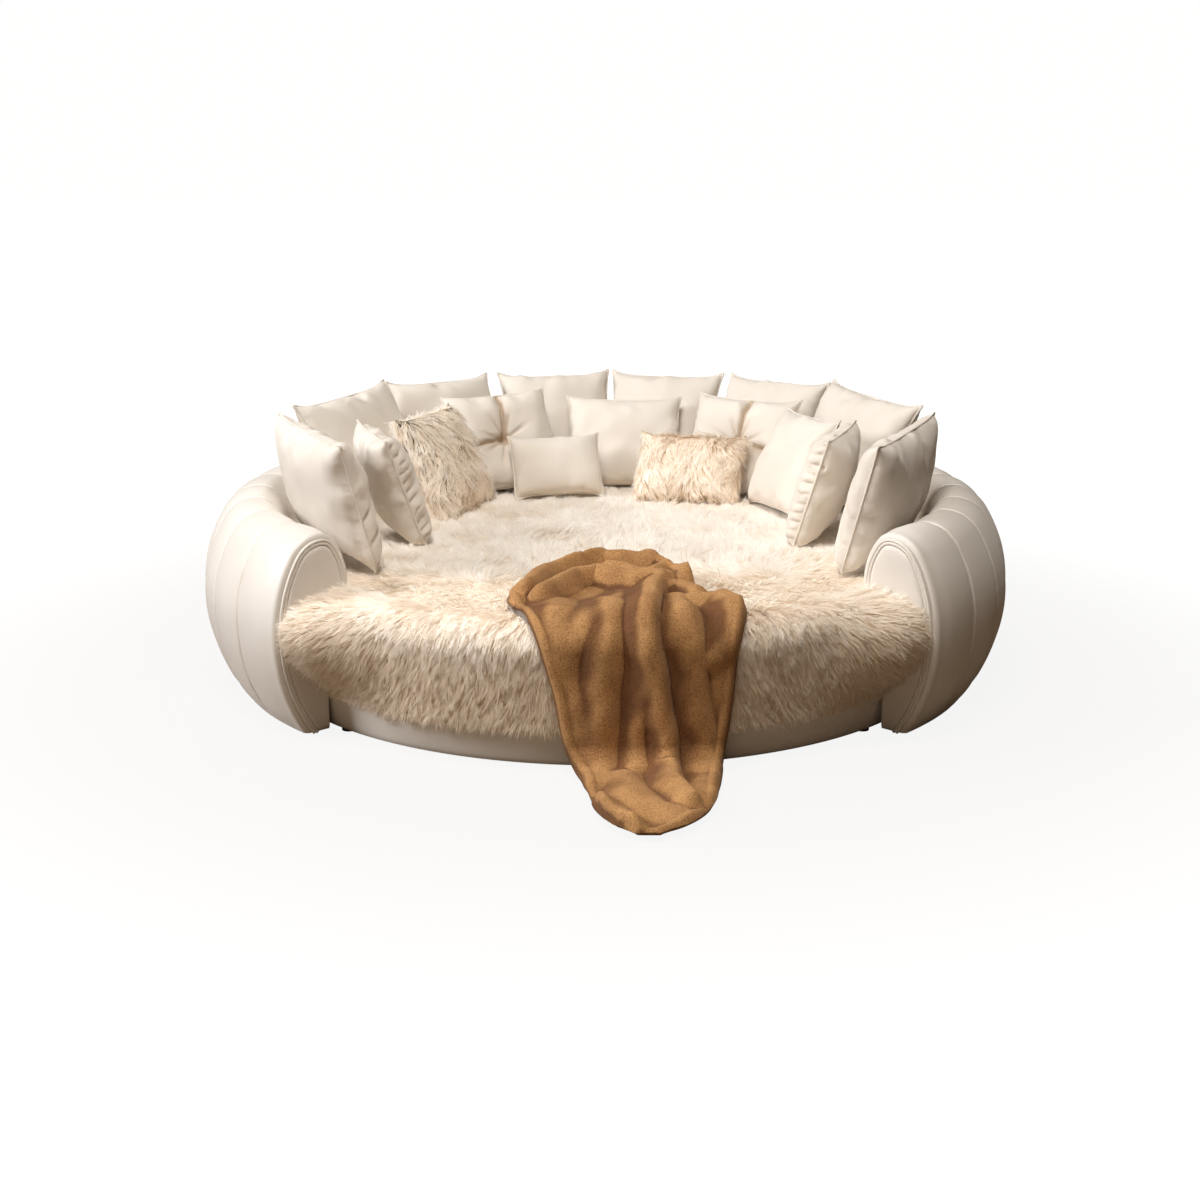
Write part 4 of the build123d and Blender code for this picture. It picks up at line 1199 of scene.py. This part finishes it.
def seam_marks(points, rim):
    """For each point the distance to the seam and the way along it to the nearest point of the seam."""
    line = points[rim]
    reach = np.concatenate([[0], np.cumsum(np.linalg.norm(np.diff(line, axis=0), axis=1))])
    gap = np.linalg.norm(points[:, None] - line[None], axis=2)
    return gap.min(1), reach[gap.argmin(1)]


def ridged(points, size, seed):
    """Noise with sharp valleys: 1 at its folds and falling to 0 between them."""
    return np.clip(1 - 1.6 * np.abs(soft_noise(points, size, seed)), 0, 1) ** 1.5


def slanted_folds(points, end, floor):
    """Folds low at one end, slanting down towards it: (1 - |sin|)^3 of height less 0.8 times the way in."""
    inward, up = np.abs(points[:, 0] - end), points[:, 2] - floor
    wave = (1 - np.abs(np.sin(pi * (up - 0.8 * inward) / fold_step + 0.35 * soft_noise(points, 0.25, 7)))) ** 3
    return wave * smooth_step(inward, 0.0, 0.03) * smooth_step(inward, 0.17, 0.05) * smooth_step(up, 0.34, 0.14)


print("puckers, pleats and folds every", pucker_step, pleat_step, fold_step, "m")

# %% Puckers, pleats, creases and tufts
def worked(points, faces, rim, style, side, seed):
    """The filled cushion with the marks of its making, and a mask of painted shade for creases and the seam.

    side is -1 or 1: the end of the cushion, left or right, that is nearer to the open front.
    """
    seam, along = seam_marks(points, rim)
    normal = point_normals(points, faces)
    low, high = points.min(0), points.max(0)
    share = (points - low) / (high - low)
    front = normal[:, 1] < 0
    lift = 0.0020 * soft_noise(points, 0.13, seed)
    lift -= 0.0014 * ridged(points, 0.2, seed + 1) * smooth_step(seam, 0.10, 0.02)
    pucker = np.sin(2 * pi * along / pucker_step + 2.2 * soft_noise(points, 0.09, seed + 2))
    lift += 0.0009 * pucker * np.exp(-seam / 0.02) * smooth_step(share[:, 2], 0.0, 0.2)
    crease = np.zeros(len(points))
    if style == "gathered":
        slide = 0.5 * soft_noise(points, 0.12, seed + 3)
        pleat = 1 - np.abs(np.sin(pi * (along + 0.3 * seam) / pleat_step + slide))
        crease = np.where(front, 0.0070, 0.0) * pleat**2 * smooth_step(seam, 0.085, 0.02)
    if style == "slack":
        crease = np.where(front, 0.009, 0.002) * slanted_folds(points, low[0] if side < 0 else high[0], low[2])
    if style == "tufted":
        x = points[:, 0] - (low[0] + high[0]) / 2
        z = points[:, 2] - (low[2] + high[2]) / 2
        spread, turn = np.hypot(x, z), np.arctan2(z, x)
        upright = 0.026 * np.exp(-np.abs(x - 0.06 * z) / 0.007) * smooth_step(z, -0.03, 0.02)
        level = 0.024 * np.exp(-np.abs(z + 1.2 * x**2) / 0.009)
        level = level * smooth_step(side * x, -0.03, 0.02) * smooth_step(side * x, 0.2, 0.1)
        rays = 0.007 * np.clip(np.cos(8 * turn + seed), 0, 1) ** 2 * np.exp(-(((spread - 0.05) / 0.045) ** 2))
        crease = np.where(front, 0.020 * np.exp(-((spread / 0.02) ** 2)) + upright + level + rays, 0)
        lift -= np.where(front, 0.034 * np.exp(-((spread / 0.10) ** 2)), 0)
    # Painted shade: deeper creases get more, and a narrow band beside the seam gets some.
    painted_shade = np.clip(0.85 * crease / 0.014, 0, 0.85) + 0.45 * np.exp(-((seam / 0.004) ** 2))
    lift = (lift - crease) * smooth_step(seam, 0.0, 0.012)
    return points + lift[:, None] * normal, np.clip(painted_shade, 0, 1)


print("four kinds of handwork on a cushion")

# %% Making the seventeen cushions
cushion_styles = {
    "cushion_arm_left": "slack", "cushion_arm_right": "slack",
    "cushion_gathered_left": "gathered", "cushion_gathered_right": "gathered",
    "cushion_tufted_left": "tufted", "cushion_tufted_right": "tufted",
    "cushion_shag_square": "shag", "cushion_lumbar_shag": "shag",
}
piping_sides = 8
narrow_feet = {"cushion_back": 0.80, "cushion_back_left_outer": 0.84, "cushion_back_right_outer": 0.84}


def make_cushion(name, seed):
    """One cushion: filled, drawn to its outline in the box of its CAD solid, worked, and piped."""
    style = cushion_styles.get(name, "plain")
    turn = turned_by(*cushion_angles[name])
    own = node_points(name) @ turn
    size = own.max(0) - own.min(0)
    foot = narrow_feet.get(name, narrow_feet["cushion_back"] if name.startswith("cushion_back") else 1.0)
    cell = 0.0095 if style in ("gathered", "tufted") else 0.0115
    front, back = filled(size[0] * 1.1, size[2] * 1.1, foot, seed, cell)
    draw = np.array((0.011, 0.026) if name.startswith("cushion_back") else (0.013, 0.018)) / size[[0, 2]]
    front, back = own.min(0) + 0.001 + drawn_to_outline(front, back, foot, draw) * (size - 0.002)
    points, faces, rim = sewn(finer(front), finer(back))
    points, painted_shade = worked(points, faces, rim, style, -np.sign(cushion_angles[name][0]), seed)
    finish, body = beige_fur if style == "shag" else cushion_finish, name + "_body"
    # The cushion carries its mask of painted shade for the cloth.
    item = make_piece(name, points @ turn.T, faces, finish, body, [name], {"painted_shade": painted_shade}, crease=0)
    if style == "shag":
        return item, points, faces, turn
    line = points[rim]
    line = (line + np.roll(line, 1, axis=0) + np.roll(line, -1, axis=0)) / 3
    cord = tube(line, 0.0038, piping_sides, closed=True) @ turn.T
    faces_round = tube_faces(len(line), piping_sides, closed=True)
    make_piece(name + "_piping", cord, faces_round, finish, body, crease=0).parent = item
    return item, points, faces, turn


bare_cushions = {}
for seed, name in enumerate(cushion_angles):
    made = make_cushion(name, 100 + 7 * seed)
    if cushion_styles.get(name) == "shag":
        bare_cushions[name] = made
print(len(cushion_angles), "cushions,", len(bare_cushions), "of them still without pile")

# %% Pile on the two shaggy cushions
for name, (core, points, faces, turn) in bare_cushions.items():
    chance = np.random.default_rng(71 + len(name))
    a, b, c, d = (points[faces[:, k]] for k in range(4))
    area = np.linalg.norm(np.cross(c - a, d - b), axis=1)
    count = 15000
    face = chance.choice(len(faces), count, p=area / area.sum())
    u, v = chance.uniform(size=(2, count, 1))
    roots = (1 - v) * ((1 - u) * a[face] + u * b[face]) + v * ((1 - u) * d[face] + u * c[face])
    normal = unit(np.cross(c - a, d - b))[face]
    swirl = 0.5 * soft_noise(roots, 0.14, 72)
    flow = np.stack([np.sin(swirl) + 0.9 * (roots[:, 0] - points[:, 0].mean()), 0 * swirl, -np.cos(swirl)], -1)
    # Painted light: the square shag cushion, turned away from the key lamp, gets paler hairs than the lumbar one.
    fur_blades(
        name + "_pile", core, roots @ turn.T, normal @ turn.T, flow @ turn.T, 0.054, 0.0026, 0.014, 73,
        beige_fur, name + "_body", bends=3, rise=0.26, draw=0.42, paler=0.1 if "lumbar" in name else 0.45,
    )

# %% [markdown]
# ## The throw
# The throw is one heavy fleece sheet. It is worked out over its way and its width: each main fold is a
# ridge along a given line, and where ridges meet, the higher one wins softly. Two wide rolls
# make the gathered end. Solidify gives the sheet its thickness.

# %% Folds of the throw
# Each fold: its height, half its width on the left and on the right, and its points (x, way along the throw).
fold_lines = [
    (0.056, 0.030, 0.022, [(-0.232, 0.50), (-0.168, 0.300), (-0.080, 0.165), (-0.011, 0.135), (0.077, 0.140),
        (0.176, 0.155), (0.230, 0.215), (0.247, 0.308)]),
    (0.058, 0.030, 0.019, [(-0.180, 0.545), (-0.135, 0.433), (-0.089, 0.340), (-0.023, 0.300),
        (0.040, 0.372), (0.095, 0.405), (0.150, 0.384), (0.195, 0.385)]),
    (0.020, 0.034, 0.026, [(-0.262, 0.560), (-0.228, 0.480), (-0.190, 0.430)]),
    (0.038, 0.024, 0.018, [(0.010, 0.190), (0.055, 0.215), (0.100, 0.290), (0.136, 0.290), (0.175, 0.215)]),
    (0.046, 0.022, 0.020, [(0.180, 0.420), (0.222, 0.440), (0.268, 0.535)]),
    (0.052, 0.052, 0.015, [(0.176, 0.410), (0.150, 0.500), (0.138, 0.590), (0.128, 0.706), (0.134, 0.768),
        (0.146, 0.836), (0.161, 0.912), (0.174, 1.001), (0.181, 1.115), (0.200, 1.300), (0.235, 1.400)]),
    (0.028, 0.036, 0.024, [(0.128, 0.700), (0.118, 0.800), (0.104, 0.900), (0.097, 1.002), (0.093, 1.130)]),
    (0.024, 0.050, 0.040, [(0.020, 0.600), (0.004, 0.720), (-0.004, 0.861), (-0.014, 1.001), (-0.018, 1.220)]),
    (0.017, 0.046, 0.030, [(-0.105, 0.800), (-0.062, 0.700), (0.000, 0.620), (0.075, 0.480)]),
    (0.016, 0.044, 0.040, [(-0.150, 0.560), (-0.134, 0.711), (-0.112, 0.829), (-0.085, 1.000),
        (-0.060, 1.200)]),
    (0.028, 0.046, 0.024, [(0.212, 0.560), (0.222, 0.682), (0.244, 0.756), (0.265, 0.834), (0.285, 1.000),
        (0.292, 1.150)]),
    (0.030, 0.040, 0.040, [(0.262, 0.570), (0.325, 0.560), (0.362, 0.640), (0.366, 0.705), (0.350, 0.749),
        (0.313, 0.800)]),
    (0.018, 0.040, 0.036, [(0.250, 1.340), (0.290, 1.147), (0.318, 1.014), (0.330, 0.850)]),
    (0.026, 0.044, 0.040, [(0.050, 1.200), (0.080, 1.320), (0.130, 1.440), (0.180, 1.470)]),
    (0.034, 0.030, 0.026, [(-0.040, 1.435), (-0.004, 1.405), (0.030, 1.475), (0.062, 1.555)]),
]
print(len(fold_lines), "folds")

# %% The shape of a fold
def line_gap(x, way, line):
    """The distance to the nearest stretch of a line, and the share of it that is towards the right."""
    best, side = np.full(x.shape, 9.0), np.zeros(x.shape)
    for (x0, w0), (x1, w1) in zip(line[:-1], line[1:]):
        along = ((x - x0) * (x1 - x0) + (way - w0) * (w1 - w0)) / ((x1 - x0) ** 2 + (w1 - w0) ** 2)
        along = np.clip(along, 0, 1)
        gap_x = x - x0 - along * (x1 - x0)
        gap = np.hypot(gap_x, way - w0 - along * (w1 - w0))
        side = np.where(gap < best, gap_x / np.maximum(gap, 1e-6), side)
        best = np.minimum(best, gap)
    return best, side


def fold_height(x, way, left, right, line):
    """A round-topped fold: (1 - (d / 2w)^2)^2 of the distance d to its line, with w for either side."""
    gap, side = line_gap(x, way, line)
    width = left + (right - left) * (0.5 + 0.5 * side)
    return np.clip(1 - (gap / (2 * width)) ** 2, 0, 1) ** 2


def edge_gap(x, way):
    """The distance to the outline of the throw, over x and the way along it."""
    at = np.linspace(first_way, last_way, 90)
    left, right = smooth_table(left_edge, at), smooth_table(right_edge, at)
    ring = np.concatenate([np.stack([left, at], -1), np.stack([right, at], -1)[::-1]])
    return line_gap(x, way, np.vstack([ring, ring[:1]]))[0]


half_way_down = fold_height(np.zeros(1), np.zeros(1), 0.03, 0.03, [(0.03, 0), (0.03, 1)])
print("at the distance w a fold has", round(float(half_way_down[0]), 2), "of its height")

# %% The sheet with its folds
winning, hem_roll, lowest = 3.2, 0.008, 0.008


def throw_points(rows, columns):
    """Points of the sheet: across between its edges, along its way, and out by its folds."""
    share = np.linspace(0, 1, rows)
    share = share - 0.05 * np.sin(2 * pi * share) / pi
    row_ways = first_way + (last_way - first_way) * share
    way, across = np.meshgrid(row_ways, np.linspace(0, 1, columns), indexing="ij")
    left, right = smooth_table(left_edge, way), smooth_table(right_edge, way)
    x = left + across * (right - left)
    spots = np.stack([x, way], -1)
    drift = 0.005 * np.stack([soft_noise(spots, 0.25, 81), soft_noise(spots, 0.25, 82)], -1)
    total = np.zeros_like(x)
    for height, left_width, right_width, line in fold_lines:
        wave = 1 + 0.06 * soft_noise(spots, 0.3, int(1000 * height + 7 * len(line)))
        fold = fold_height(x + drift[..., 0], way + drift[..., 1], left_width, right_width, line)
        total += (height * wave * fold) ** winning
    total = total ** (1 / winning)
    edge = edge_gap(x, way)
    total += hem_roll * np.exp(-(((edge - 0.012) / 0.010) ** 2))
    total += 0.0014 * soft_noise(spots, 0.13, 83)
    total = lowest + total * smooth_step(edge, -0.002, 0.012)
    out, up = (np.interp(way, throw_reach, throw_line[:, k]) for k in range(2))
    slope = np.gradient(throw_line, throw_reach, axis=0)
    way_out, way_up = (np.interp(way, throw_reach, slope[:, k]) for k in range(2))
    steep = np.clip(-way_up, 0, 1)
    bow = (out - np.sqrt(out**2 - x**2)) * np.maximum(steep, smooth_step(out, 0.9, 1.2) * (out < 1.25))
    return np.stack([x, way_up * total + bow - out, up + way_out * total], -1), total


print("the higher fold wins by a power of", winning)

# %% Painted shade in the folds' valleys, and the finished throw
def valleys(height, reach, depth):
    """How deep each point of a grid lies under the mean of those round it, from 0 to 1 at the depth.

    The mean is a moving mean over 2 reach points, taken three times along both sides of the grid.
    """
    mean = height
    for _ in range(3):
        for axis in (0, 1):
            lines = np.moveaxis(mean, axis, 0)
            run = np.cumsum(np.concatenate([lines[:1]] * reach + [lines] + [lines[-1:]] * reach), axis=0)
            mean = np.moveaxis((run[2 * reach :] - run[: len(lines)]) / (2 * reach), 0, axis)
    return np.clip((mean - height) / depth, 0, 1)


rows, columns = ((270, 120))
points, height = throw_points(rows, columns)
faces = grid_faces(rows, columns)
# Painted shade: how deep each point lies in a valley of the folds darkens the fleece there.
painted_shade = np.clip(valleys(height, 3, 0.003) + 0.2 * valleys(height, 9, 0.016), 0, 1)
throw = make_piece(
    "throw", points, faces, camel_fleece, "throw_body", ["throw"], {"painted_shade": painted_shade}, outward=False, crease=0
)
a, b, c, d = (points.reshape(-1, 3)[faces[:, k]] for k in range(4))
throw_area = float(np.linalg.norm(np.cross(c - a, d - b), axis=1).sum() / 2)
fleece = throw.modifiers.new("thickness", "SOLIDIFY")
fleece.thickness, fleece.offset = 0.009, -1.0
print("throw", rows * columns, "points, face area", round(throw_area, 2))
